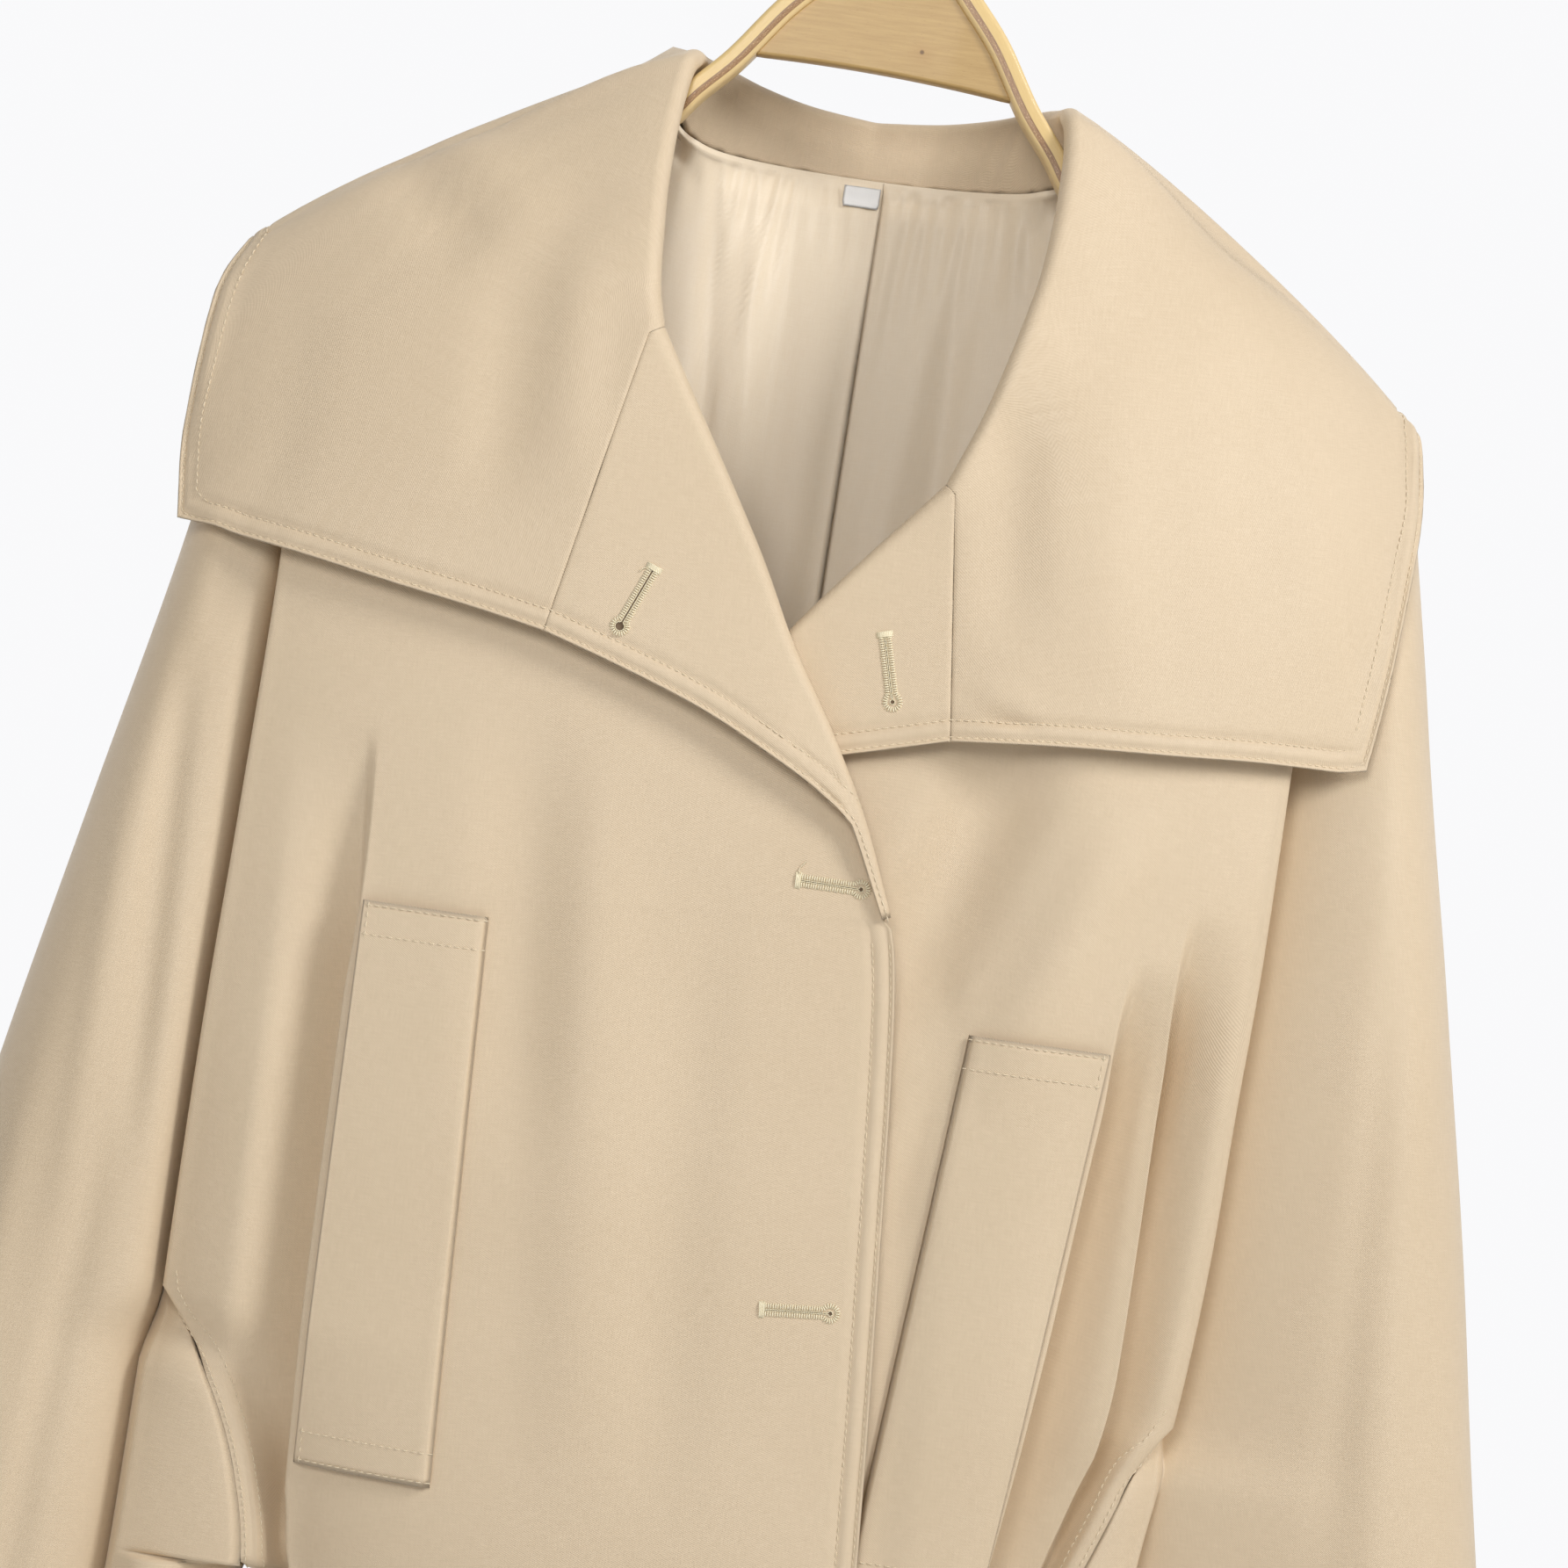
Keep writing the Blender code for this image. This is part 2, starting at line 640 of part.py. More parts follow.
def back_half(sign):
    """Rows of one half of the back, from its middle outwards."""
    neck = NECK_HALF * np.sin(np.linspace(0.0, math.pi / 2, 6))
    side = "right" if sign < 0 else "left"
    rows = []
    for share, z_outer in zip(UPPER, levels(side)):
        outer = armhole(z_outer, side)
        across = np.concatenate((neck[:-1], np.linspace(NECK_HALF, outer - LIP, 6)))
        x = across * sign
        top = np.where(across < NECK_HALF, neck_height(x), shoulder(x))
        z = top + (YOKE - top) * share
        row = list(zip(x, apart(back_y(x, z), 1), z))
        rows.append(row + lip(outer, z[-1], z_outer, sign, 1, back_y))
    for z in levels(side)[len(UPPER):]:
        rows.append(panel_row((0.0, z), z, sign, 1, back_y, [], (5, 5)))
    return rows


def back(collection, look):
    right, left = back_half(-1), back_half(1)
    rows = [a[:0:-1] + b for a, b in zip(right, left)]
    return cloth("back", rows, (0, 1, 0), collection, look)


# ------------------------------------------------------------------ sleeves
SLEEVE_GAP = 1.1          # more room by the armhole seam, where it runs along the outside of a bend
BRIM_SHARE = 0.25         # places of the brim and the valley on the plain line of the sleeve's head
VALLEY_SHARE = 0.6
BRIM_OUT = 5.0            # how far the crease's edge bulges over its valley
SWELL_REACH = 8.0         # how soon the sleeve leaves its valley


def sleeve_start(z, sign, surface):
    """Where a sleeve's line starts: by the armhole seam, or by the underarm seam below it."""
    side = "right" if sign < 0 else "left"
    if z <= UNDERARM + 1:
        return np.array([float(read(SLEEVE_INNER, side, z)), SEAM_HALF + 0.8 * float(smooth((z + 571.0) / 30.0))])
    seam, share = armhole(z, side), tucked(z)
    beside = GAP / 2 + SLEEVE_GAP * (1.0 - share) * float(smooth((z - YOKE) / 20.0))
    flat = np.array([seam + beside, abs(float(surface(seam * sign, z)))])
    inside = abs(float(surface((seam - LIP_FROM) * sign, z))) - LIP_DEEP - GAP
    deep = np.array([seam - LIP_BACK, inside])
    start = flat + (deep - flat) * share
    start[1] = max(start[1], SEAM_HALF)
    return start


def between(start, end, share, place, begun):
    """The place itself, or where the sleeve's head is still plain the point at that share of its line."""
    plain = start + (end - start) * share
    return plain + (place - plain) * begun


def sleeve_line(z, sign, face, surface):
    """One line of a sleeve from the armhole or underarm seam round to the overarm seam."""
    side = "right" if sign < 0 else "left"
    lowered = (TIP["right"] - TIP["left"]) * float(smooth((z - YOKE) / 95.0)) if sign > 0 else 0.0
    value = {name: float(read(SLEEVE, name, z + lowered)) for name in SLEEVE}
    share, edge = tucked(z), float(read(CREASE, side, z))
    start = sleeve_start(z, sign, surface)
    full = np.array([value["full"], value["full_y"]])
    begun = float(smooth((-100.0 - z) / 60.0))
    open_web = float(np.clip((edge - start[0] - 12.0) / 20.0, 0.0, 1.0))
    open_web *= 1.0 - float(smooth((-560.0 - z) / 120.0))
    deepness = max(open_web, share)
    valley_y = value["edge_y"] + (value["valley_y"] - value["edge_y"]) * deepness
    valley = np.array([edge + 4.0 - 7.0 * deepness, valley_y])
    if share > 0.5:
        valley[1] = min(valley[1], start[1] - 2.5)
    brim = np.array([edge, value["edge_y"]])
    brim = brim + ((start + valley) / 2 - brim) * share
    brim = between(start, full, BRIM_SHARE, brim, begun)
    valley = between(start, full, VALLEY_SHARE, valley, begun)
    out = np.array([BRIM_OUT, 0.0]) * (1 - share) * deepness * begun
    quarter = np.linspace(0.0, math.pi / 2, 3)
    web_x = start[0] + (brim[0] - start[0]) * (1 - np.cos(quarter))
    web_y = start[1] + (brim[1] - start[1]) * np.sin(quarter)
    web = np.stack([web_x, web_y], axis=1)
    under = valley + np.array([0.5, 4.0]) * begun * deepness + out * 0.6
    turn = bezier(brim, brim + out, under, valley, np.linspace(0.0, 1.0, 4))
    reach = min(SWELL_REACH, (full[0] - valley[0]) / 3)
    leaving = valley + np.array([reach, reach / 2 * deepness]) * begun
    arriving = full - np.array([reach * 1.5, 0.0]) * begun
    swell = bezier(valley, leaving, arriving, full, np.linspace(0.0, 1.0, 3))
    bend = np.linspace(0.0, math.pi / 2, 5)
    over = np.stack([full[0] + (value["outer"] - full[0]) * np.sin(bend), full[1] * np.cos(bend)], axis=1)
    over[-1, 1] = SEAM_HALF
    line = np.concatenate((web, turn[1:], swell[1:], over[1:]))
    return [(x * sign, y * face, z) for x, y in line]


def sleeve(name, sign, face, collection, look):
    surface = back_y if face > 0 else (left_front_y if sign > 0 else front_y)
    upper = levels("right" if sign < 0 else "left")[2:len(UPPER) + len(CHEST) + len(LOWER)]
    rows = [sleeve_line(z, sign, face, surface) for z in (*upper, -556, -575, -600, -640, CUFF)]
    return cloth(name, rows, (0, face, 0), collection, look)


# ------------------------------------------------------------------ collar
STAND = 2                 # points of the stand below the roll
STAND_LEAN = 8.0          # the stand's lower edge lies this far outboard of the roll's start
COLLAR_OFF = 2.6          # room between the collar's inner side and the coat, by the roll
COLLAR_OFF_EDGE = 4.0     # and so much more at its edge


def collar_neck(step, sign, start):
    """The collar's lower edge by the neck seam, across from the start of the roll."""
    leaning = STAND_LEAN * float(smooth(step / 1.4))
    beside = start + np.array([sign * leaning, 0.12 * leaning, -0.3 * leaning])
    angle = max(0.0, (step - 6.5) / 6.5) * math.pi / 2
    across, behind = (NECK_HALF - 2.4) * math.cos(angle) * sign, (NECK_BACK - 1.9) * math.sin(angle)
    height = float(neck_height(NECK_HALF * math.cos(angle) * sign))
    seam = np.array([across, behind, height + 1.0])
    return beside + (seam - beside) * float(smooth((step - 4.8) / 1.7))


def sleeve_depth(x, z):
    """Distance of a sleeve's outer side from the plane of the shoulder line, about."""
    full, outer, depth = (float(read(SLEEVE, name, z)) for name in ("full", "outer", "full_y"))
    past = min(1.0, max(0.0, (abs(x) - full) / (outer - full)))
    return depth * math.sqrt(1.0 - past**2) if abs(x) > full - 12.0 else 0.0


def coat_depth(x, z, face):
    """Distance of the coat's outer side from the plane of the shoulder line; 0 above the shoulder."""
    if z > float(shoulder(x)) and (face < 0 or abs(x) > NECK_HALF):
        return 0.0
    return max(abs(float(front_y(x, z) if face < 0 else back_y(x, z))), sleeve_depth(x, z))


def clear_of_coat(point, plan, gap):
    """Moves a point of the collar off the coat, the way it leans."""
    face = -1 if plan < 0 else 1
    push = np.array([0.0, math.sin(plan), math.cos(plan)])
    for _ in range(160):
        depth = coat_depth(point[0], point[2] - gap, face)
        if depth == 0.0 or abs(point[1]) >= depth + gap * abs(math.sin(plan)):
            break
        point = point + push * 0.4
    return point


def collar_line(source, step, sign):
    """One line of the collar: up the stand, over the roll and down to its edge."""
    value = {name: float(read(source, name, step)) for name in source}
    crest, edge = (np.array([value[f"{end}_x"] * sign, value[f"{end}_y"], value[f"{end}_z"]])
                   for end in ("crest", "edge"))
    ends = [np.array([float(read(source, f"crest_{axis}", step + d)) for axis in "xyz"]) * (sign, 1, 1)
            for d in (0.25, -0.25)]
    along = (ends[0] - ends[1]) / np.linalg.norm(ends[0] - ends[1])
    plan = math.radians(value["plan"])
    out = np.array([sign * math.cos(plan), math.sin(plan), 0.0])
    out -= along * np.dot(out, along)
    out /= np.linalg.norm(out)
    tip = np.cross(along, out)
    if np.dot(tip, (-sign * 1.0, 0.0, 1.0)) < 0:
        tip = -tip
    radius = value["radius"]
    centre = crest - tip * radius
    angles = np.linspace(0.0, math.radians(value["turn"]), ROLL + 1)
    roll = [centre + radius * (tip * math.sin(a) - out * math.cos(a)) for a in angles]
    heading = tip * math.cos(angles[-1]) + out * math.sin(angles[-1])
    neck = collar_neck(step, sign, roll[0])
    stand = [neck + (roll[0] - neck) * k / STAND for k in range(STAND)]
    chord = (edge - roll[-1]) / np.linalg.norm(edge - roll[-1])
    arriving = chord + np.array([0.0, 0.0, -0.35])
    arriving /= np.linalg.norm(arriving)
    reach = value["reach"]
    shares = np.linspace(0.0, 1.0, FALL + 1)[1:]
    fall = bezier(roll[-1], roll[-1] + heading * reach, edge - arriving * reach, edge, shares)
    room = COLLAR_WALL + COLLAR_OFF + COLLAR_OFF_EDGE * shares
    fall = [clear_of_coat(point, plan, gap) for point, gap in zip(fall, room)]
    return np.array([*stand, *roll, *fall])


def join_lapel(lines, steps, source, offset, sign):
    """Moves the first lines of the collar on to the lapel's seam."""
    seam = lapel_line(source, 0.0, offset)[0]
    begin = [seam[0] + (seam[1] - seam[0]) * k / (STAND + 1) for k in range(STAND + 1)]
    whole = np.array([*begin, *seam[1:]]) + (sign * 0.4, 0.0, 0.0)
    shift = whole - lines[0]
    for line, step in zip(lines, steps):
        line += shift * max(0.0, 1.0 - step / 2.0) ** 2


def collar(collection, look):
    steps = np.linspace(0.0, 13.0, 19)
    right = [collar_line(COLLAR_RIGHT, s, -1) for s in steps]
    left = [collar_line(COLLAR_LEFT, s, 1) for s in steps]
    join_lapel(right, steps, LAPEL_RIGHT, no_offset, -1)
    join_lapel(left, steps, LAPEL_LEFT, underlap, 1)
    lines = right + left[-2::-1]
    return cloth("collar", lines, (0, 1, 0), collection, look, wall=COLLAR_WALL)


# ------------------------------------------------------------------ small cloth pieces
WELT_OUT = 2.7            # outer side of a welt above the coat


def welt(name, source, sign, surface, collection, look):
    rows = []
    for z in np.linspace(source["z"][0], source["z"][-1], 9):
        across = np.linspace(read(source, "free_x", z), read(source, "sewn_x", z), 6) * sign
        rows.append([(x, float(surface(x, z)) - WELT_OUT, z) for x in across])
    return cloth(name, rows, (0, -1, 0), collection, look)


LINING_IN = 7.0           # the lining hangs this far inside the back
LINING_NECK = (68.0, 46.8)    # its half axes at the neck seam
LINING_END = -330.0


def lining_y(x, z):
    """The lining starts by the stand of the collar and then hangs free of the back."""
    across = np.minimum(np.abs(x) / LINING_NECK[0], 0.92)
    by_neck = neck_plan(x) - LINING_NECK[1] * np.sqrt(1.0 - across**2)
    below = smooth((neck_height(x) - z) / 12.0)
    return back_y(x, z) - np.maximum(by_neck, 3.2) * (1 - below) - LINING_IN * below


def lining(name, sign, collection, look):
    """Half of the back lining, from the neck seam down as far as it can be seen."""
    rows = []
    for share in np.linspace(0.0, 1.0, 9) ** 1.6:
        middle = 5.0 - 4.0 * share
        edge = 62.0 + 78.0 * smooth((share - 0.05) * 3.0)
        places = np.linspace(0.0, 1.0, 8)
        x = np.concatenate(([middle + sign * GAP], middle + (edge * sign - middle) * places[1:]))
        top = neck_height(x) - 2.0
        z = top + (LINING_END - top) * share
        rows.append(list(zip(x, lining_y(x, z), z)))
    return cloth(name, rows, (0, -1, 0), collection, look, wall=1.0)


LABEL_X = (-8.5, 4.9)
LABEL_Z = (-28.0, -35.5)
LABEL_WALL = 0.6


def size_label(collection, look):
    y = min(float(lining_y(x, z)) for x in LABEL_X for z in LABEL_Z) - LABEL_WALL - GAP
    rows = [[(x, y, z) for x in LABEL_X] for z in LABEL_Z]
    return cloth("size_label", rows, (0, -1, 0), collection, look, wall=LABEL_WALL)


# ------------------------------------------------------------------ belt
BELT_OUT = GAP + BELT_WALL + 0.9    # outer side of the belt above the coat
KNOT_X = 12.0
KNOT_SIZE = (38.0, 15.0, 56.0)
KNOT_ROUND = 6.0


def belt_section(z, angle, out):
    """A point round the waist, out from the coat."""
    side = "right" if math.cos(angle) < 0 else "left"
    face = "front" if math.sin(angle) < 0 else "back"
    half = float(read(BODY, side, z)) + out
    depth = float(read(BODY, face, z)) + out
    across = math.copysign(abs(math.cos(angle)) ** (2 / FLATNESS), math.cos(angle))
    return (half * across, depth * math.sin(angle), z)


def belt(collection, look):
    angles = np.linspace(0.0, 2 * math.pi, 40, endpoint=False)
    heights = (BELT_TOP, (BELT_TOP + BELT_BOTTOM) / 2, BELT_BOTTOM)
    rows = [[belt_section(z, a, BELT_OUT) for a in angles] for z in heights]
    return cloth("belt", rows, (-1, 0, 0), collection, look, wall=BELT_WALL, ring=True)


def belt_knot(collection, look):
    """A soft rounded block: the belt's end wrapped once round itself."""
    bpy.ops.mesh.primitive_cube_add(size=1.0)
    made = bpy.context.active_object
    made.name = "belt_knot"
    z = (BELT_TOP + BELT_BOTTOM) / 2
    front = -float(read(BODY, "front", BELT_TOP)) - BELT_OUT - 0.8
    centre = to_metres((KNOT_X, front - KNOT_SIZE[1] / 2, z))
    for vertex in made.data.vertices:
        vertex.co = [c * s * MM + o for c, s, o in zip(vertex.co, KNOT_SIZE, centre)]
    round_edge = made.modifiers.new("rounding", "BEVEL")
    round_edge.width = KNOT_ROUND * MM
    round_edge.segments = 3
    made.data.materials.append(look)
    made.data.shade_smooth()
    for holder in list(made.users_collection):
        holder.objects.unlink(made)
    collection.objects.link(made)
    return made


def belt_tail(name, top_x, lean, length, out, collection, look):
    """One hanging end of the belt, flat on the skirt."""
    rows = []
    for share in np.linspace(0.0, 1.0, 10):
        z = BELT_BOTTOM - 6.0 - length * share
        middle = top_x + lean * share
        half = BELT_WIDTH / 2 * (0.55 + 0.45 * smooth(share * 5.0))
        across = np.linspace(-half, half, 5)
        y = min(float(front_y(middle + a, z)) for a in across)
        rows.append([(middle + a, y - GAP - BELT_WALL - out, z - a * lean / length) for a in across])
    return cloth(name, rows, (0, -1, 0), collection, look, wall=BELT_WALL)


# ------------------------------------------------------------------ hanger
def hanger_body(collection, look):
    """Bell plate and arms as one flat outline with thickness."""
    places = np.concatenate((np.linspace(0.0, 41.0, 6), np.linspace(56.3, 187.0, 13)))
    top = [(x, float(read(HANGER, "top", x))) for x in places]
    under = [(x, float(read(HANGER, "top", x)) - float(read(HANGER, "deep", x))) for x in places[7:]]
    half = top + under[::-1] + [(PLATE_HALF, PLATE_BOTTOM)]
    outline = half + [(-x, z) for x, z in half[:0:-1]]
    curve = bpy.data.curves.new("hanger_body", "CURVE")
    curve.dimensions = "2D"
    curve.fill_mode = "BOTH"
    curve.extrude = HANGER_THICK / 2 * MM
    line = curve.splines.new("POLY")
    line.points.add(len(outline) - 1)
    for point, (x, z) in zip(line.points, outline):
        right, _, up = to_metres((tilted(x, z)[0], 0.0, tilted(x, z)[1]))
        point.co = (right, up, 0.0, 1.0)
    line.use_cyclic_u = True
    made = place("hanger_body", curve, collection, look)
    made.rotation_euler = (math.pi / 2, 0.0, 0.0)
    return made


def hanger_hook(collection, look):
    """Bent wire: a shaft out of the plate, then most of a circle."""
    middle = HOOK_TOP - HOOK_RADIUS + HOOK_WIRE / 2
    foot = float(read(HANGER, "top", 0.0)) + GAP
    path = [(0.0, foot), (0.0, foot + 6.0), (1.2, foot + 10.5), (5.0, foot + 16.0)]
    for degrees in range(-50, 191, 20):
        angle = math.radians(degrees)
        path.append((HOOK_RADIUS * math.cos(angle), middle + HOOK_RADIUS * math.sin(angle)))
    curve = bpy.data.curves.new("hanger_hook", "CURVE")
    curve.dimensions = "3D"
    curve.bevel_depth = HOOK_WIRE / 2 * MM
    curve.bevel_resolution = 2
    curve.use_fill_caps = True
    line = curve.splines.new("POLY")
    line.points.add(len(path) - 1)
    for point, (x, z) in zip(line.points, path):
        point.co = (*to_metres((tilted(x, z)[0], 0.0, tilted(x, z)[1])), 1.0)
    return place("hanger_hook", curve, collection, look)


# ------------------------------------------------------------------ assembly
def main():
    for old in list(bpy.data.objects):
        bpy.data.objects.remove(old, do_unlink=True)
    parts = bpy.data.collections.new("trench_coat")
    bpy.context.scene.collection.children.link(parts)
    shell = material("coat_twill", CREAM, 0.62)
    satin = material("lining_satin", SATIN, 0.42)
    white = material("label_tape", WHITE, 0.6)
    wood = material("plywood", PLYWOOD, 0.5)
    steel = material("hook_steel", STEEL, 0.3, 1.0)

    front_right(parts, shell)
    front_left(parts, shell)
    back(parts, shell)
    for side, sign in (("right", -1), ("left", 1)):
        for part, face in (("front", -1), ("back", 1)):
            sleeve(f"sleeve_{side}_{part}", sign, face, parts, shell)
    collar(parts, shell)
    lapel("lapel_right", LAPEL_RIGHT, no_offset, 4.7, parts, shell)
    lapel("lapel_left", LAPEL_LEFT, underlap, 3.0, parts, shell)
    welt("welt_right", WELT_RIGHT, -1, front_y, parts, shell)
    welt("welt_left", WELT_LEFT, 1, left_front_y, parts, shell)
    lining("lining_back_right", -1, parts, satin)
    lining("lining_back_left", 1, parts, satin)
    size_label(parts, white)
    belt(parts, shell)
    belt_knot(parts, shell)
    belt_tail("belt_tail_right", 2.0, -26.0, TAIL_LENGTH, 2.0, parts, shell)
    belt_tail("belt_tail_left", 31.0, 26.0, TAIL_LENGTH - 30.0, 7.5, parts, shell)
    hanger_body(parts, wood)
    hanger_hook(parts, steel)


main()
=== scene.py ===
"""Looks of a belted trench coat hanging on a plywood hanger.

Sizes are in millimetres here and become metres when a mesh is made.  +Z is up, the coat faces -Y and +X is the
wearer's left.  Heights in the tables are measured from a level just under the hanger's centre plate; the finished
coat has its origin at the inner top of the hook.

Every cloth piece is a grid of points on its outer side.  The grid gets its creases, its sewn edges and its
thickness, and the rows of stitches are laid on it by one geometry node tree.
"""

import bmesh
import bpy
import json
import math
import numpy as np
from mathutils import Matrix, Vector
from mathutils.bvhtree import BVHTree
from mathutils.kdtree import KDTree

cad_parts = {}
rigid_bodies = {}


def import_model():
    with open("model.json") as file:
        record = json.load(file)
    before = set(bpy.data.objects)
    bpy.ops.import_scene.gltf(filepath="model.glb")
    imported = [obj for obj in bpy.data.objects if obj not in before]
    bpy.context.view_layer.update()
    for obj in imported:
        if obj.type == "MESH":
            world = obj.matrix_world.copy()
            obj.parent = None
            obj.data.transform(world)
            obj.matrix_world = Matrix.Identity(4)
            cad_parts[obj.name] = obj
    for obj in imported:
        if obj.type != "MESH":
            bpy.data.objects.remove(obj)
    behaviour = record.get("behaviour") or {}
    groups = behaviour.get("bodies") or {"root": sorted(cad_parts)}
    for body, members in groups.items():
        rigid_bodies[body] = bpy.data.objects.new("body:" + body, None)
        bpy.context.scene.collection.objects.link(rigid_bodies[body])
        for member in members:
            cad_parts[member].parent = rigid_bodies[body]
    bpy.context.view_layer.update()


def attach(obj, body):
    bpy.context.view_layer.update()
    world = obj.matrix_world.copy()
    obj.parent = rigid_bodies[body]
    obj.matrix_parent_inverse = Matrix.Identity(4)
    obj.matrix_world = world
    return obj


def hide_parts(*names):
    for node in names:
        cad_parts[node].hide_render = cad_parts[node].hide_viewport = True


for old in list(bpy.data.objects):
    bpy.data.objects.remove(old, do_unlink=True)
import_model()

# ------------------------------------------------------------------ driving sizes (mm)
MM = 0.001
WALL = 1.2                # coat cloth with its facing
COLLAR_WALL = 1.6         # two layers and interlining
BELT_WALL = 2.4           # a sewn tube of cloth, pressed flat
GAP = 0.3                 # between two sewn pieces
SEAM_HALF = 0.25          # half the gap of a seam that runs along the outside of a bend
FLATNESS = 3.0            # exponent of the body's section: 2 is an ellipse
CAP_SHARE = 0.2           # part of the depth reached right at the shoulder line
CAP_ROUND = 3.0           # how soon that happens, in mm below the line
SLOPE_LENGTH = 70.0       # how soon the rest of the depth is reached
NECK_HALF = 76.0          # neck hole, half width
NECK_BACK = 50.0          # neck hole, from the shoulder line to the back
NECK_LEVEL = -25.0        # height of the neck seam in the middle of the back
HEM = -1090.0
CUFF = -680.0
UNDERARM = -541.0
YOKE = -190.0             # level where the rows of the panels become flat
BELT_TOP = -556.0
BELT_BOTTOM = -604.0
FILL_DEPTH = 36.0         # depth of the cloth beside the lower armhole
FILL_REACH = 26.0         # and how far from the seam it is fuller
UNDERLAP = 6.0            # how far the left front lies behind the right one
UNDERLAP_NECK = 9.0       # the same by the lapels
UNDERLAP_SKIRT = 10.0     # the same in the skirt
SKIRT_WAVES = 4.0         # soft flares in each half of the skirt
SKIRT_FLARE = 8.0         # how deep they are at the hem
TAIL_LENGTH = 330.0       # hanging ends of the belt
BELT_WIDTH = BELT_TOP - BELT_BOTTOM


def table(columns, *rows):
    """A dict of columns; the first column is what the others are read by."""
    data = np.array(rows, dtype=float)
    return dict(zip(columns.split(), data.T))


# Body section by height: half widths on the wearer's right and left, and the depth of front and back.
BODY = table(
    "z right left front back",
    (-60, 245, 243, 56, 51),
    (-200, 236, 231, 58, 54),
    (-300, 223, 214, 59, 56),
    (-400, 212, 196, 60, 57),
    (-447, 206, 183, 60, 57),
    (-466, 186, 170, 60, 57),
    (-485, 172, 157, 60, 57),
    (-505, 161, 145, 60, 56),
    (-530, 152, 136, 59, 55),
    (-541, 148, 134, 58, 55),
    (-556, 140, 130, 58, 55),
    (-580, 131, 127, 57, 54),
    (-604, 133, 130, 58, 55),
    (-640, 149, 147, 64, 61),
    (-700, 168, 167, 72, 69),
    (-800, 190, 190, 81, 78),
    (-950, 214, 214, 88, 86),
    (-1090, 235, 235, 94, 92),
)

# The coat's shoulder line by distance from the middle; its last point on the body is the sleeve's tip.
SHOULDER = table(
    "x right left",
    (76, -7.4, -13.5),
    (81, -12, -18.5),
    (92, -20, -27),
    (105, -27, -34),
    (121, -33.5, -41),
    (146, -43.5, -52.5),
    (176, -60, -74),
    (201, -80, -97),
    (230, -104, -123),
)
TIP = {"right": -77.0, "left": -92.0}

# Edge of the body's fold by the sleeve, and the armhole seam where it comes out of that crease.
CREASE = table(
    "z right left",
    (-77, 198, 197),
    (-92, 193, 195),
    (-110, 190.5, 187),
    (-135, 187.5, 179.5),
    (-160, 185, 175.5),
    (-193, 183, 173),
    (-283, 185, 172),
    (-338, 187, 170),
    (-380, 188, 169),
    (-440, 189, 165),
    (-493, 190, 157.5),
    (-541, 191, 152),
    (-552, 191.5, 153),
    (-600, 194, 172),
    (-680, 203, 205),
)
SEAM = table(
    "z right left",
    (-447, 188, 163),
    (-466, 174, 152),
    (-485, 163, 145),
    (-505, 155, 138),
    (-530, 149, 134.5),
    (-541, 148, 134),
)

# Sleeve section by height: outer edge, fullest point, and depths of the web's edge, the valley and the fullest point.
SLEEVE = table(
    "z outer full edge_y valley_y full_y",
    (-79, 200.6, 199.6, 4, 3, 4),
    (-86, 203, 200.5, 6, 4, 7),
    (-100, 206, 201, 9, 6, 11),
    (-130, 211, 202, 17, 9, 18),
    (-193, 222, 204, 33, 18, 31),
    (-283, 241, 214, 36, 21, 36),
    (-380, 261, 224, 34, 18, 37),
    (-447, 273, 232, 30, 14, 37),
    (-505, 284, 240, 29, 12, 37),
    (-552, 292, 246, 29, 12, 36),
    (-600, 301, 251, 28, 16, 34),
    (-680, 312, 260, 26, 22, 30),
)
SLEEVE_INNER = table(
    "z right left",
    (-541, 149.5, 135.5),
    (-556, 155, 143),
    (-575, 165, 153),
    (-600, 174, 162),
    (-640, 182, 174),
    (-680, 187, 184),
)

# Folds that overlap: the edge's distance from the middle, and how far each one has grown.
FOLD_RIGHT = table(
    "z x size",
    (-245, 141, 0),
    (-300, 138, 0.6),
    (-340, 137, 1),
    (-400, 136.5, 1),
    (-525, 134, 1),
    (-551, 124, 0.8),
    (-580, 114, 0.5),
    (-640, 128, 0.3),
    (-760, 150, 0),
    (-1090, 195, 0),
)
FOLD_LEFT_INNER = table(
    "z x size",
    (-290, 128, 0),
    (-345, 121, 1),
    (-430, 113, 1),
    (-525, 101, 1),
    (-551, 95, 0.8),
    (-580, 90, 0.5),
    (-640, 103, 0.3),
    (-760, 118, 0),
    (-1090, 160, 0),
)
FOLD_LEFT_OUTER = table(
    "z x size",
    (-270, 145, 0),
    (-330, 141, 1),
    (-427, 139.5, 1),
    (-497, 127, 1),
    (-525, 118, 1),
    (-551, 111, 0.8),
    (-580, 106, 0.5),
    (-640, 126, 0.3),
    (-760, 148, 0),
    (-1090, 198, 0),
)
FOLD_HALF = 3.6           # half width of the turned edge
FOLD_OVERLAP = 3.6
FOLD_DEPTH = 17.0

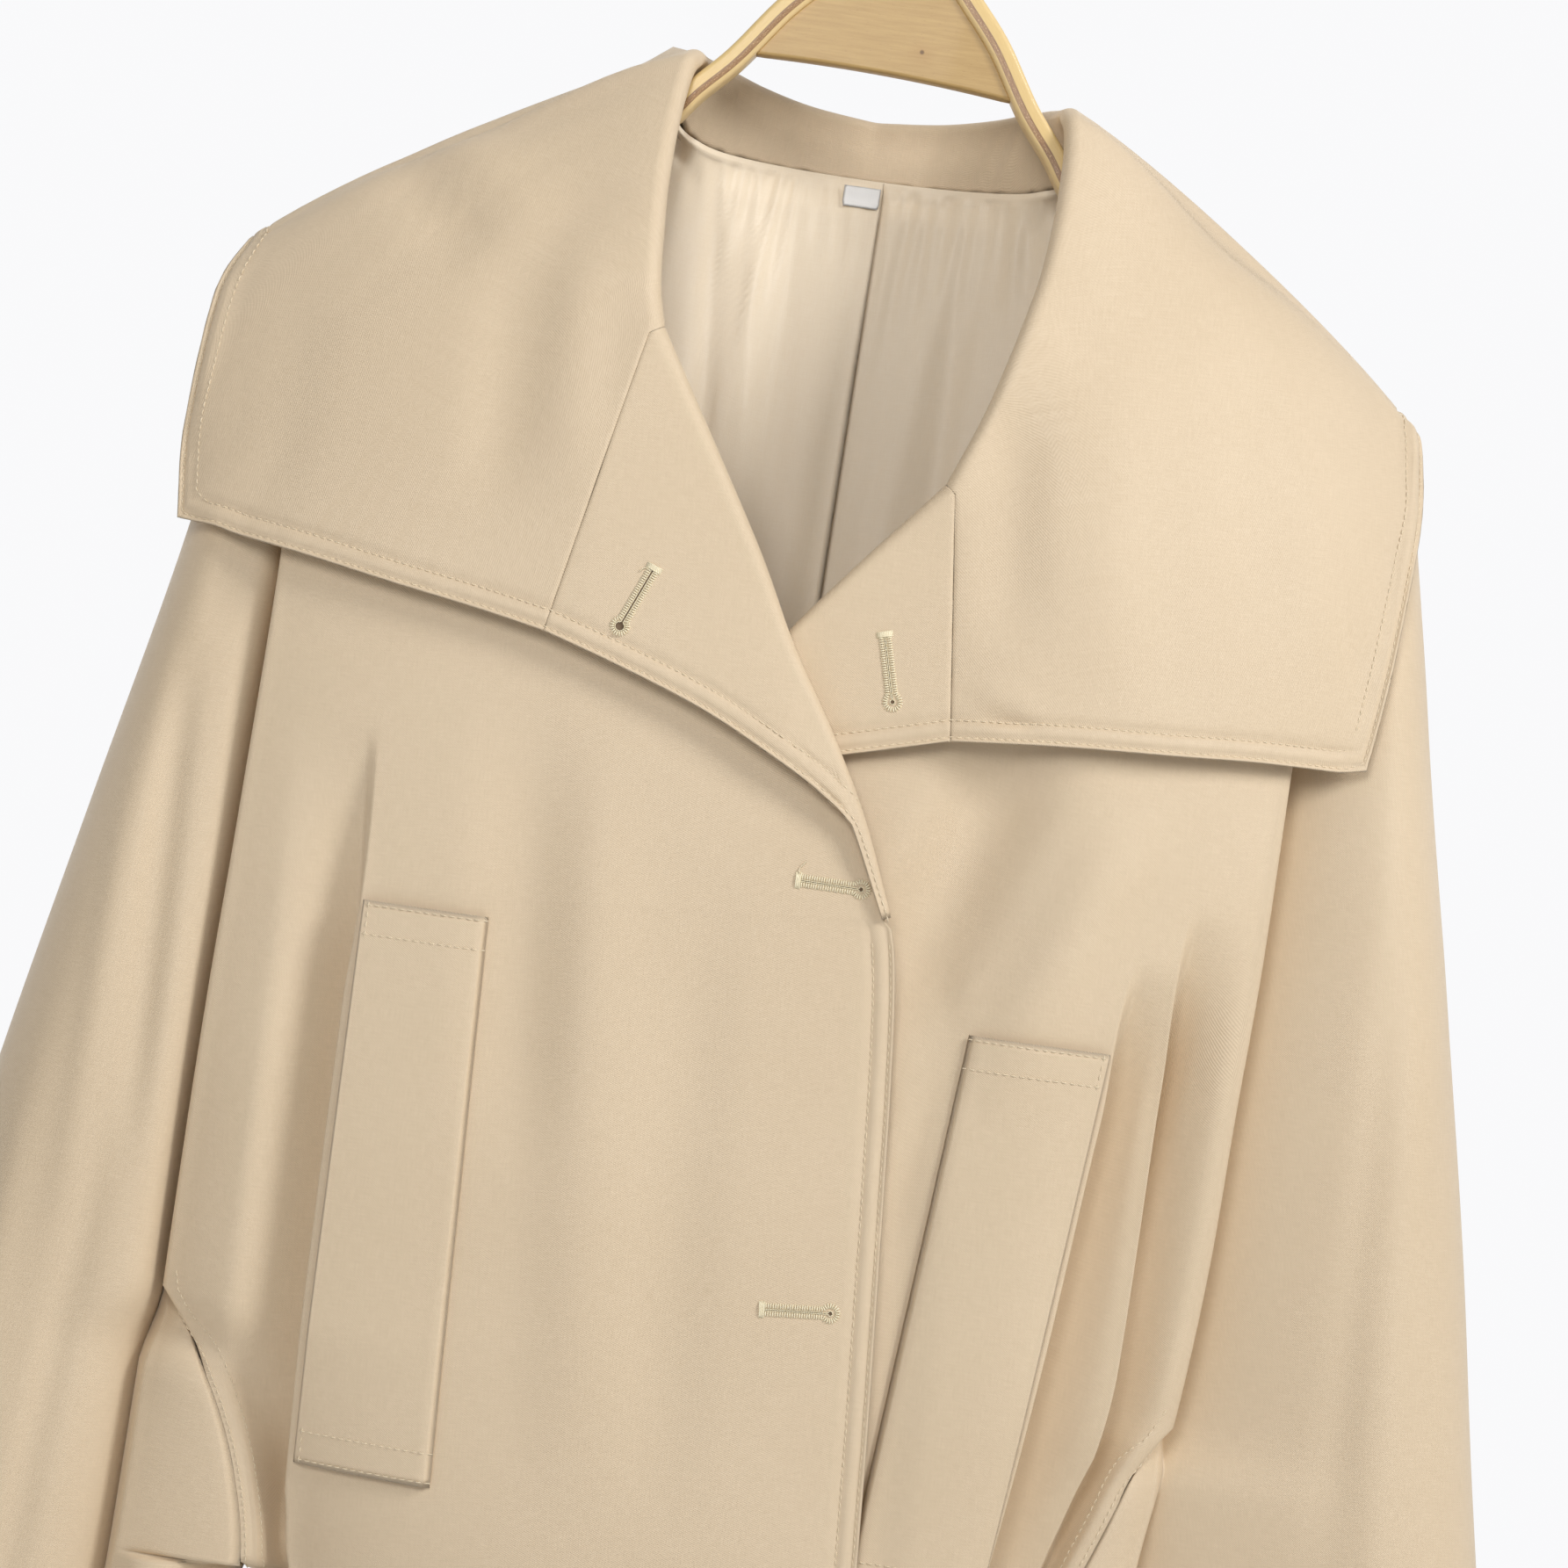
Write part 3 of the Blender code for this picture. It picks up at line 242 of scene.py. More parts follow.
# Lapels, from the neck to where the fold ends: fold line, lapel edge, and the fold's outer radius.
LAPEL_RIGHT = table(
    "step crest_x crest_z edge_x edge_z radius lift",
    (0, -62, -95, -88, -204, 5.8, 9),
    (1, -45, -123, -62, -212, 5.4, 9),
    (2, -17, -170, -31, -223, 4.8, 9),
    (3, -3, -197, -8, -234, 4.4, 9),
    (4, 15, -226, 12, -245, 4.0, 8),
    (5, 29, -252, 26, -256, 3.4, 6),
    (6, 42.4, -284, 42.0, -285, 1.5, 2.6),
)
LAPEL_LEFT = table(
    "step crest_x crest_z edge_x edge_z radius lift",
    (0, 40.6, -135, 54, -222, 4.6, 9),
    (1, 17, -163, 32, -228, 4.0, 7),
    (2, -6, -192, 6, -235, 3.4, 5.5),
    (3, -30, -225, -24, -243, 3.0, 4.8),
)

# Front edges below the lapels.
FRONT_EDGE_RIGHT = table(
    "z x",
    (-284, 42),
    (-297, 45.5),
    (-320, 48.5),
    (-376, 53),
    (-418, 56),
    (-469, 59.5),
    (-556, 64),
    (-1090, 72),
)
FRONT_EDGE_LEFT = table("z x", (-262, -40), (-300, -45), (-604, -45), (-1090, -40))

# The fronts' neck edge, from the lapel up to the shoulder line.
NECK_SEAM = table(
    "step right_x right_z left_x left_z",
    (0, 68.5, -98, 45.5, -138),
    (1, 79, -81, 64, -108),
    (2, 81.3, -60, 72.5, -79),
    (3, 80.3, -35, 77.2, -46),
    (4, 76, -7.4, 76, -13.5),
)

# Collar, from the lapel seam round the shoulder to the middle of the back.  plan is the direction in which it falls,
# seen from above, and turn how far it rolls over; reach is how long it keeps its direction past the roll.
COLLAR_COLUMNS = "step plan turn radius crest_x crest_y crest_z edge_x edge_y edge_z reach"
COLLAR_RIGHT = table(
    COLLAR_COLUMNS,
    (0, -90, 180, 5.8, 62, -46.4, -95, 88, -62, -204, 20),
    (1, -84, 178, 5.6, 65.5, -44, -80, 112, -60, -199.5, 25),
    (2, -75, 172, 5.2, 67.5, -38.5, -60, 140, -56, -195, 30),
    (3, -62, 162, 5.0, 69, -31, -40, 180, -46, -188, 36),
    (4, -46, 148, 4.6, 69.6, -22, -21, 221, -29, -182, 42),
    (5, -30, 134, 4.4, 69.3, -15, -6, 224.5, -20, -150, 42),
    (6, -14, 122, 4.2, 68, -8, 5.5, 222, -10, -106, 40),
    (7, 0, 114, 4.0, 66.6, 1.5, 8.5, 213, 0, -79, 38),
    (8, 13, 118, 4.0, 64.5, 12, 8.4, 219, 12, -102, 38),
    (9, 26, 126, 4.0, 61, 20, 8.2, 222, 28, -146, 38),
    (10, 40, 136, 4.0, 55, 29, 7.4, 216, 46, -197, 36),
    (11, 56, 148, 4.0, 42, 40, 4.5, 150, 62, -200, 32),
    (12, 74, 158, 4.0, 23, 49, 1.4, 75, 70, -202, 28),
    (13, 90, 162, 4.0, 0, 54, -0.4, 0, 73, -203, 28),
)
COLLAR_LEFT = table(
    COLLAR_COLUMNS,
    (0, -90, 180, 4.6, 40.6, -50, -135, 54, -62, -222, 20),
    (1, -84, 178, 4.6, 50, -47.5, -110, 90, -60, -219, 25),
    (2, -75, 172, 4.6, 58.5, -43.5, -80, 125, -57, -217, 30),
    (3, -62, 162, 4.6, 64.5, -34, -53, 165, -48, -215, 36),
    (4, -46, 148, 4.6, 67.5, -23.5, -25, 198, -36, -214.5, 42),
    (5, -30, 134, 4.4, 68.5, -15.5, -8.5, 203.5, -26, -182, 42),
    (6, -14, 122, 4.2, 68, -8, 3, 207.8, -14, -128, 40),
    (7, 0, 114, 4.0, 67.2, 1.5, 6.5, 202, 0, -90, 38),
    (8, 13, 118, 4.0, 65, 12, 7, 209, 12, -114, 38),
    (9, 26, 126, 4.0, 61.5, 20, 7.4, 212, 28, -155, 38),
    (10, 40, 136, 4.0, 55, 29, 6.8, 206, 46, -200, 36),
    (11, 56, 148, 4.0, 42, 40, 4.2, 145, 62, -201, 32),
    (12, 74, 158, 4.0, 23, 49, 1.4, 74, 70, -202, 28),
    (13, 90, 162, 4.0, 0, 54, -0.4, 0, 73, -203, 28),
)

# Welts of the slanted pockets: their free and their sewn edge, top and bottom.
WELT_RIGHT = table("z free_x sewn_x", (-303, 136.5, 93), (-498, 134.5, 86))
WELT_LEFT = table("z free_x sewn_x", (-320, 123, 74), (-515, 105, 58))

# The hanger's upper outline from its middle to the end of the arm, and how tall the arm is there.
HANGER = table(
    "x top deep",
    (0, 56, 0),
    (20, 49.5, 0),
    (31, 39, 0),
    (41, 28, 0),
    (56.3, 6, 12),
    (68.3, -7.8, 12),
    (74, -16, 11.5),
    (80, -22, 11),
    (92, -31, 10),
    (105, -38, 9.5),
    (121, -45, 9.5),
    (146, -56, 9.5),
    (176, -75.5, 9.5),
    (187, -86, 7),
)
HANGER_THICK = 12.0
HANGER_TILT = math.radians(2.5)   # the wearer's right arm is up
PLATE_HALF = 44.0
PLATE_BOTTOM = 7.2
HOOK_TOP = 112.0          # the hook's inner top before the hanger is tilted
HOOK_RADIUS = 19.0        # to the wire's middle
HOOK_WIRE = 4.0

# Soft ridges (push above 0) and dents of the cloth, each from a top point to a bottom one.
CREASE_COLUMNS = "x_top z_top x_low z_low width push"
FRONT_CREASES = table(
    CREASE_COLUMNS,
    (-66, -230, -34, -520, 24, 2.6),
    (-24, -260, -6, -520, 20, -1.6),
    (-88, -215, -74, -400, 26, -3.2),
    (74, -320, 68, -300, 3, 1.2),
    (70, -320, 62, -296, 3, -1.2),
    (66, -330, 55, -405, 5, -2.0),
)
LEFT_CREASES = table(
    CREASE_COLUMNS,
    (84, -205, 40, -335, 26, -7.0),
    (128, -225, 78, -350, 20, 3.2),
    (62, -340, 66, -560, 16, -2.0),
)
BACK_CREASES = table(
    CREASE_COLUMNS,
    (-70, -260, -34, -552, 26, 2.0),
    (66, -250, 30, -552, 24, 2.0),
    (-20, -330, -12, -552, 20, -1.5),
    (24, -340, 14, -552, 18, -1.5),
    (-120, -330, -84, -552, 24, 1.8),
    (118, -320, 80, -552, 22, 1.8),
)
COLLAR_CREASES = table(
    CREASE_COLUMNS,
    (-168, -42, -128, -82, 15, -3.0),
    (-150, -30, -104, -72, 14, 1.6),
    (-96, -52, -86, -168, 16, 1.8),
    (-118, -70, -112, -170, 16, -1.6),
    (-190, -90, -186, -180, 14, -1.0),
    (58, -88, 70, -196, 18, -2.6),
    (92, -60, 104, -210, 26, 1.8),
    (140, -50, 150, -190, 22, -1.2),
    (176, -90, 176, -200, 18, 1.0),
    (57, -203, 84, -209, 4, 1.4),
    (58, -210, 86, -215, 4, -1.0),
)
SLEEVE_CREASES = {
    "right": table(CREASE_COLUMNS, (-211, -205, -207, -420, 9, -2.6), (-222, -240, -226, -470, 9, 1.4),
                   (-240, -330, -262, -660, 10, 1.4), (-214, -380, -236, -640, 9, -1.8)),
    "left": table(CREASE_COLUMNS, (216, -230, 222, -520, 10, -1.2), (232, -250, 240, -560, 12, 1.0)),
}
LINING_CREASES = table(
    CREASE_COLUMNS,
    (-52, -30, -46, -150, 8, -2.6),
    (-37, -36, -34, -130, 6, 1.6),
    (-22, -36, -24, -170, 9, -1.6),
    (-8, -44, -9, -280, 10, 1.4),
    (24, -46, 22, -200, 9, 1.2),
    (40, -46, 38, -170, 8, -1.6),
)


# ------------------------------------------------------------------ curves and the coat's envelope
def read(source, column, at):
    """The column's value at each place, on a smooth curve that never overshoots its rows."""
    names = list(source)
    xs, ys = source[names[0]], source[column]
    if xs[0] > xs[-1]:
        xs, ys = xs[::-1], ys[::-1]
    steps = np.diff(xs)
    slopes = np.diff(ys) / steps
    ends = np.concatenate(([slopes[0]], slopes, [slopes[-1]]))
    left, right = ends[:-1], ends[1:]
    same = left * right > 0
    total = np.where(same, left + right, 1.0)
    tangents = np.where(same, 2.0 * left * right / total, 0.0)
    tangents[0], tangents[-1] = slopes[0], slopes[-1]
    at = np.clip(np.asarray(at, dtype=float), xs[0], xs[-1])
    k = np.clip(np.searchsorted(xs, at) - 1, 0, len(steps) - 1)
    t = (at - xs[k]) / steps[k]
    return (
        (1 + 2 * t) * (1 - t) ** 2 * ys[k]
        + t * (1 - t) ** 2 * steps[k] * tangents[k]
        + t**2 * (3 - 2 * t) * ys[k + 1]
        + t**2 * (t - 1) * steps[k] * tangents[k + 1]
    )


def smooth(t):
    t = np.clip(t, 0.0, 1.0)
    return t * t * (3.0 - 2.0 * t)


def bump(t):
    """1 at t = 0, falling softly to 0 at t = 1 either way."""
    return smooth(1.0 - np.abs(t))


def sides(source, x, at):
    """Reads the right or left column, by the side of x."""
    return np.where(np.asarray(x) < 0, read(source, "right", at), read(source, "left", at))


def rise(height):
    """Share of the depth reached at a height below the shoulder line."""
    height = np.maximum(height, 0.0)
    near = np.sqrt(height / (height + CAP_ROUND))
    return (1 - CAP_SHARE) * (1 - np.exp(-height / SLOPE_LENGTH)) + CAP_SHARE * near


def bow(x, z):
    """1 in the middle of the body and 0 at its side, at that height."""
    across = np.clip(np.abs(x) / sides(BODY, x, z), 0.0, 1.0)
    return np.sqrt(1.0 - across**FLATNESS)


def shoulder(x):
    return sides(SHOULDER, x, np.abs(x))


def flare(x, z):
    """Soft waves of the skirt, outwards."""
    size = SKIRT_FLARE * smooth((BELT_BOTTOM - 12 - z) / 420.0)
    across = np.asarray(x) / sides(BODY, x, z)
    return size * np.cos(math.pi * SKIRT_WAVES * across + 0.6) * bow(x, z) ** 2


def soft_creases(source, x, z):
    """Outward push of a table of soft ridges and dents, each from a top point to a bottom one."""
    x, z = np.asarray(x, dtype=float), np.asarray(z, dtype=float)
    total = np.zeros(np.broadcast(x, z).shape)
    for x_top, z_top, x_low, z_low, width, push in zip(*source.values()):
        length = math.hypot(x_low - x_top, z_low - z_top)
        way = ((x_low - x_top) / length, (z_low - z_top) / length)
        along = ((x - x_top) * way[0] + (z - z_top) * way[1]) / length
        aside = (x - x_top) * -way[1] + (z - z_top) * way[0]
        total = total + push * bump(aside / width) * smooth(1.6 * (1.0 - np.abs(2.0 * along - 1.0)))
    return total


def filled(x, z, plain, face):
    """The cloth stands fuller beside the lower armhole, where the sleeve is sewn to it."""
    near = smooth((np.abs(x) - sides(SEAM, x, z)) / FILL_REACH + 1.0)
    share = near * smooth((-452.0 - z) / 25.0) * smooth((z - UNDERARM) / 3.5)
    return plain + (face * FILL_DEPTH - plain) * share


def front_y(x, z):
    plain = -read(BODY, "front", z) * bow(x, z) * rise(shoulder(x) - z) - flare(x, z)
    return filled(x, z, plain - soft_creases(FRONT_CREASES, x, z), -1)


def within(x, half):
    """1 in the middle, falling to 0 at that distance from it."""
    return np.clip(1.0 - np.abs(x / half) ** 2.0, 0.0, 1.0)


def neck_plan(x):
    """Distance of the back neck seam behind the shoulder line."""
    return NECK_BACK * np.sqrt(within(x, NECK_HALF))


def neck_height(x):
    """Height of the back neck seam, which comes up to the shoulder line at its sides."""
    rising = (1.0 - within(x, NECK_HALF)) ** 6
    return NECK_LEVEL + (sides(SHOULDER, x, NECK_HALF) - NECK_LEVEL) * rising


def back_y(x, z):
    """The back starts at the neck seam and spreads from its curve into the plain back below."""
    below = np.maximum(np.where(np.abs(x) < NECK_HALF, neck_height(x), shoulder(x)) - z, 0.0)
    start = NECK_BACK * within(x, NECK_HALF + 1.2 * below) ** (0.5 + below / 40.0)
    full = read(BODY, "back", z) * bow(x, z)
    plain = start + (full - start) * rise(below) + flare(x + 20.0, z)
    return filled(x, z, plain + soft_creases(BACK_CREASES, x, z), 1)


def underlap(x, z):
    """How far the left front lies behind the envelope, where the right one covers it."""
    deep = UNDERLAP + (UNDERLAP_NECK - UNDERLAP) * smooth((z + 330.0) / 60.0)
    deep = deep + (UNDERLAP_SKIRT - UNDERLAP) * smooth((-640.0 - z) / 90.0)
    return deep * smooth((110.0 - x) / 50.0) * smooth((-100.0 - z) / 60.0)


def left_front_y(x, z):
    return front_y(x, z) + underlap(x, z) - soft_creases(LEFT_CREASES, x, z)


def no_offset(x, z):
    return 0.0


def tilted(x, z):
    """Turns a point of the hanger a little about the middle of its plate."""
    up, cos, sin = z - PLATE_BOTTOM, math.cos(HANGER_TILT), math.sin(HANGER_TILT)
    return x * cos + up * sin, PLATE_BOTTOM + up * cos - x * sin


def upright(x, z):
    """The tilted point in the plane of the shoulder line."""
    x, z = tilted(x, z)
    return (x, 0.0, z)


ORIGIN = upright(0.0, HOOK_TOP)


# ------------------------------------------------------------------ grids
EDGE_PLACES = (0.0, 0.7, 1.3, 1.9, 3.0, 4.6, 6.2, 7.1, 7.9, 9.2, 12.0)    # close together where an edge is worked
EDGE_FULL = 30.0          # on shorter lines these places move closer together


def to_metres(points):
    return (np.asarray(points, dtype=float) - ORIGIN) * MM


def bezier(a, b, c, d, t):
    t = np.asarray(t)[:, None]
    return (1 - t) ** 3 * a + 3 * (1 - t) ** 2 * t * b + 3 * (1 - t) * t**2 * c + t**3 * d


def lengths(line):
    """Distance along a line at each of its points."""
    return np.concatenate(([0.0], np.cumsum(np.linalg.norm(np.diff(line, axis=0), axis=1))))


def run(grid, axis):
    """Distance along the lines of a grid at its points: along its rows for axis 1, down its columns for axis 0."""
    return np.insert(np.cumsum(np.linalg.norm(np.diff(grid, axis=axis), axis=2), axis=axis), 0, 0.0, axis=axis)


def at_lengths(line, places):
    """Points of the line at distances along it."""
    along = lengths(line)
    return np.stack([np.interp(places, along, line[:, k]) for k in range(line.shape[1])], axis=1)


def closed(line):
    """A line with its first point again at its end."""
    return np.concatenate((line, line[:1]))


def edge_places(length, count):
    """Distances back from an edge: close together by it, then even."""
    near = np.array(EDGE_PLACES) * min(1.0, length / EDGE_FULL)
    return np.concatenate((near, np.linspace(near[-1], length, count - len(near) + 1)[1:]))


def normals_of(grid, outward, ring=False):
    """Unit normals of a grid of points, towards the side that is given for its middle."""
    down = np.gradient(grid, axis=0)
    if ring:
        across = np.roll(grid, -1, axis=1) - np.roll(grid, 1, axis=1)
    else:
        across = np.gradient(grid, axis=1)
    normals = np.cross(across, down)
    normals /= np.maximum(np.linalg.norm(normals, axis=2, keepdims=True), 1e-9)
    middle = normals[grid.shape[0] // 2, grid.shape[1] // 2]
    return normals if np.dot(middle, outward) > 0 else -normals


def beside(grid, line, step=1.0):
    """Distance of every grid point from a line, and how far along the line its nearest point is."""
    line = np.asarray(line, dtype=float)
    total = lengths(line)[-1]
    places = np.linspace(0.0, total, max(2, int(total / step)))
    dense = at_lengths(line, places)
    tree = KDTree(len(dense))
    for k, point in enumerate(dense):
        tree.insert(point, k)
    tree.balance()
    found = [tree.find(point)[1:] for point in grid.reshape(-1, 3)]
    number, distance = (np.array(v) for v in zip(*found))
    return distance.reshape(grid.shape[:2]), places[number].reshape(grid.shape[:2])


# ------------------------------------------------------------------ how edges and seams are worked
RIPPLES = ((7.3, 0.3), (10.9, 0.3), (16.7, 0.25), (29.0, 0.15))    # length of each wave, and its share
ROW_NEAR = 1.75           # the two rows of stitches from an edge
ROW_FAR = 7.5
TWO_ROWS = (ROW_NEAR, ROW_FAR)
HEM_ROW = 25.0            # and the one row of a hem
SEAM_STEPS = (0.0, 0.12, 0.26, 0.5)


def ripple(along, seed):
    """Uneven little waves between -1 and 1, as thread tension draws the cloth up."""
    rng = np.random.default_rng(seed)
    return sum(np.sin(2 * math.pi * along / length + rng.uniform(0, 6.3)) * share for length, share in RIPPLES)


def stitched_edge(distance, along, seed):
    """Height of the cloth by an edge with two rows of stitches: a rolled lip, then a puffed band."""
    lip = 0.3 * bump((distance - 0.8) / 1.0)
    rows = -0.8 * bump((distance - ROW_NEAR) / 0.95) - 0.85 * bump((distance - ROW_FAR) / 1.1)
    inside = np.clip((distance - ROW_NEAR) / (ROW_FAR - ROW_NEAR), 0.0, 1.0)
    band = (0.42 + 0.3 * ripple(along, seed)) * np.sin(math.pi * inside)
    after = 0.2 * ripple(along, seed) * bump((distance - 10.5) / 3.5)
    return lip + rows + band + after


def sewn_edge(distance, along, seed):
    """Height of the cloth by a seam: it turns down into it, a little unevenly."""
    return -(0.95 + 0.2 * ripple(along, seed)) * bump(distance / 1.7) + 0.25 * bump((distance - 3.2) / 2.2)


def seam_line(distance, along, seed):
    """Height of the cloth by a pressed seam: a fine line."""
    return -(0.45 + 0.1 * ripple(along, seed)) * bump(distance / 1.1)


def hem_edge(distance, along, seed):
    """Height of the cloth by a turned-up hem: a firm lip and a row of stitches 25 mm up."""
    row = -0.3 * bump((distance - HEM_ROW) / 1.4)
    return 0.25 * bump((distance - 1.0) / 1.2) + row + 0.35 * ripple(along, seed) * bump((distance - HEM_ROW) / 9.0)


def with_seam_steps(steps):
    """Adds steps right after the first one, so that a seam there is a fine line."""
    return np.concatenate((steps[:1] + (steps[1] - steps[0]) * np.array(SEAM_STEPS), steps[1:]))


def shaped(grid, outward, edges, ring=False):
    """The grid with its edges worked; edges holds (line, profile, strength at each row or 1)."""
    normals = normals_of(grid, outward, ring)
    for seed, (line, profile, strength) in enumerate(edges):
        distance, along = beside(grid, line)
        height = profile(distance, along, seed + 11)
        strength = np.asarray(strength, dtype=float)
        if strength.ndim == 1:
            strength = strength[:, None]
        grid = grid + normals * (height * strength)[:, :, None]
    return grid


# ------------------------------------------------------------------ cloth walls
RIM_STEPS = 4
FACES_FRONT = (0, -1, 0)
FACES_BACK = (0, 1, 0)
pieces = {}               # name: object


def flat_map(grid):
    """Where each point lies on the flat cloth: x from the row's first point, and length down the columns."""
    sign = 1.0 if grid[-1, -1, 0] > grid[-1, 0, 0] else -1.0
    return np.stack([grid[:, :1, 0] + sign * run(grid, 1), grid[0, :, 2] - run(grid, 0)], axis=2)


def in_scene(name, data):
    """A new object in the scene, of this mesh, curve, lamp or camera."""
    made = bpy.data.objects.new(name, data)
    bpy.context.scene.collection.objects.link(made)
    return made


def mesh_object(name, points, faces, look, uv=None, smooth_faces=True):
    """A mesh object in the scene; points are in metres, uv is one pair for each point."""
    mesh = bpy.data.meshes.new(name)
    mesh.from_pydata(np.asarray(points).tolist(), [], faces)
    if uv is not None:
        layer = mesh.uv_layers.new(name="cloth")
        corner_points = np.empty(len(mesh.loops), dtype=np.int32)
        mesh.loops.foreach_get("vertex_index", corner_points)
        layer.data.foreach_set("uv", np.asarray(uv)[corner_points].ravel())
    if smooth_faces:
        mesh.shade_smooth()
    mesh.materials.append(look)
    made = in_scene(name, mesh)
    pieces[name] = made
    return made


def grid_faces(rows, columns, ring=False):
    """The four-sided faces of a grid; a ring's last column meets its first one."""
    index = np.arange(rows * columns).reshape(rows, columns)
    spans = columns if ring else columns - 1
    here, beyond_it = index[:, :spans], np.roll(index, -1, axis=1)[:, :spans]
    return index, np.stack([here[:-1], beyond_it[:-1], beyond_it[1:], here[1:]], axis=2).reshape(-1, 4)


def wall(name, grid, outward, look, thick=WALL, uv=None, ring=False):
    """Cloth with a thickness and a rounded rim; the grid is its outer side."""
    rows, columns = grid.shape[:2]
    size = rows * columns
    normals = normals_of(grid, outward, ring)
    thick = np.broadcast_to(np.asarray(thick, dtype=float), (rows, columns))[:, :, None]
    uv = (flat_map(grid) if uv is None else uv).reshape(-1, 2)
    index, quads = grid_faces(rows, columns, ring)
    corner, beside_it, below_it = grid[rows // 2, 0], grid[rows // 2, 1], grid[rows // 2 + 1, 0]
    way = 1 if np.dot(np.cross(beside_it - corner, below_it - corner), normals[rows // 2, 0]) > 0 else -1
    outer, inner, normals = (v.reshape(-1, 3) for v in (grid, grid - normals * thick, normals))
    points, uvs = [outer, inner], [uv, uv]
    faces = [*quads[:, ::way].tolist(), *(quads[:, ::-way] + size).tolist()]
    if ring:
        loops = [index[0], index[-1][::-1]]
    else:
        loops = [np.concatenate((index[0, :-1], index[:-1, -1], index[-1, :0:-1], index[:0:-1, 0]))]
    base = 2 * size
    for loop in loops:
        out = np.cross(outer[np.roll(loop, -1)] - outer[np.roll(loop, 1)], normals[loop]) * -way
        out /= np.maximum(np.linalg.norm(out, axis=1, keepdims=True), 1e-9)
        middle = (outer[loop] + inner[loop]) / 2
        half = np.linalg.norm(outer[loop] - inner[loop], axis=1, keepdims=True) / 2
        rings = [loop]
        for step in range(1, RIM_STEPS):
            angle = math.pi * step / RIM_STEPS
            points.append(middle + half * (normals[loop] * math.cos(angle) + out * math.sin(angle)))
            uvs.append(uv[loop])
            rings.append(base + np.arange(len(loop)))
            base += len(loop)
        rings.append(loop + size)
        for low, high in zip(rings, rings[1:]):
            faces += np.stack([low, high, np.roll(high, -1), np.roll(low, -1)], axis=1)[:, ::way].tolist()
    made = mesh_object(f"{name}_cloth", to_metres(np.concatenate(points)), faces, look, np.concatenate(uvs) * MM)


# ------------------------------------------------------------------ nodes of materials and of the stitches
def add(tree, kind, output, sockets, **settings):
    """An output of a new node; each of its sockets gets a value, or a link from another output."""
    node = tree.nodes.new(kind)
    for name, value in settings.items():
        setattr(node, name, value)
    for place, value in sockets.items():
        if isinstance(value, bpy.types.NodeSocket):
            tree.links.new(value, node.inputs[place])
        else:
            node.inputs[place].default_value = value
    return node.outputs[output]


def maths(tree, operation, *values):
    return add(tree, "ShaderNodeMath", 0, dict(enumerate(values)), operation=operation)


def weighed(tree, *parts):
    """The sum of outputs, each times its weight."""
    products = [maths(tree, "MULTIPLY", value, weight) for value, weight in parts]
    total = products[0]
    for product in products[1:]:
        total = maths(tree, "ADD", total, product)
    return total


def vector(tree, *values):
    return add(tree, "ShaderNodeCombineXYZ", 0, dict(enumerate(values)))


# ------------------------------------------------------------------ stitches
STITCHED = (2.8, 2.05, 0.24)    # from one stitch to the next, its length and the thread's radius
STITCH_SUNK = -0.9        # a stitch's ends and its middle above the cloth, in radii of its thread
STITCH_HIGH = 2.9
STITCH_SIDES = 5
STITCH_TURNS = 0.07       # how unevenly the stitches lie, in radians
TREE_INPUTS = (
    ("Geometry", "NodeSocketGeometry", None),
    ("pitch", "NodeSocketFloat", STITCHED[0]),
    ("length", "NodeSocketFloat", STITCHED[1]),
    ("thread", "NodeSocketFloat", STITCHED[2]),
    ("turn", "NodeSocketFloat", 0.0),
    ("seed", "NodeSocketInt", 1),
    ("material", "NodeSocketMaterial", None),
)


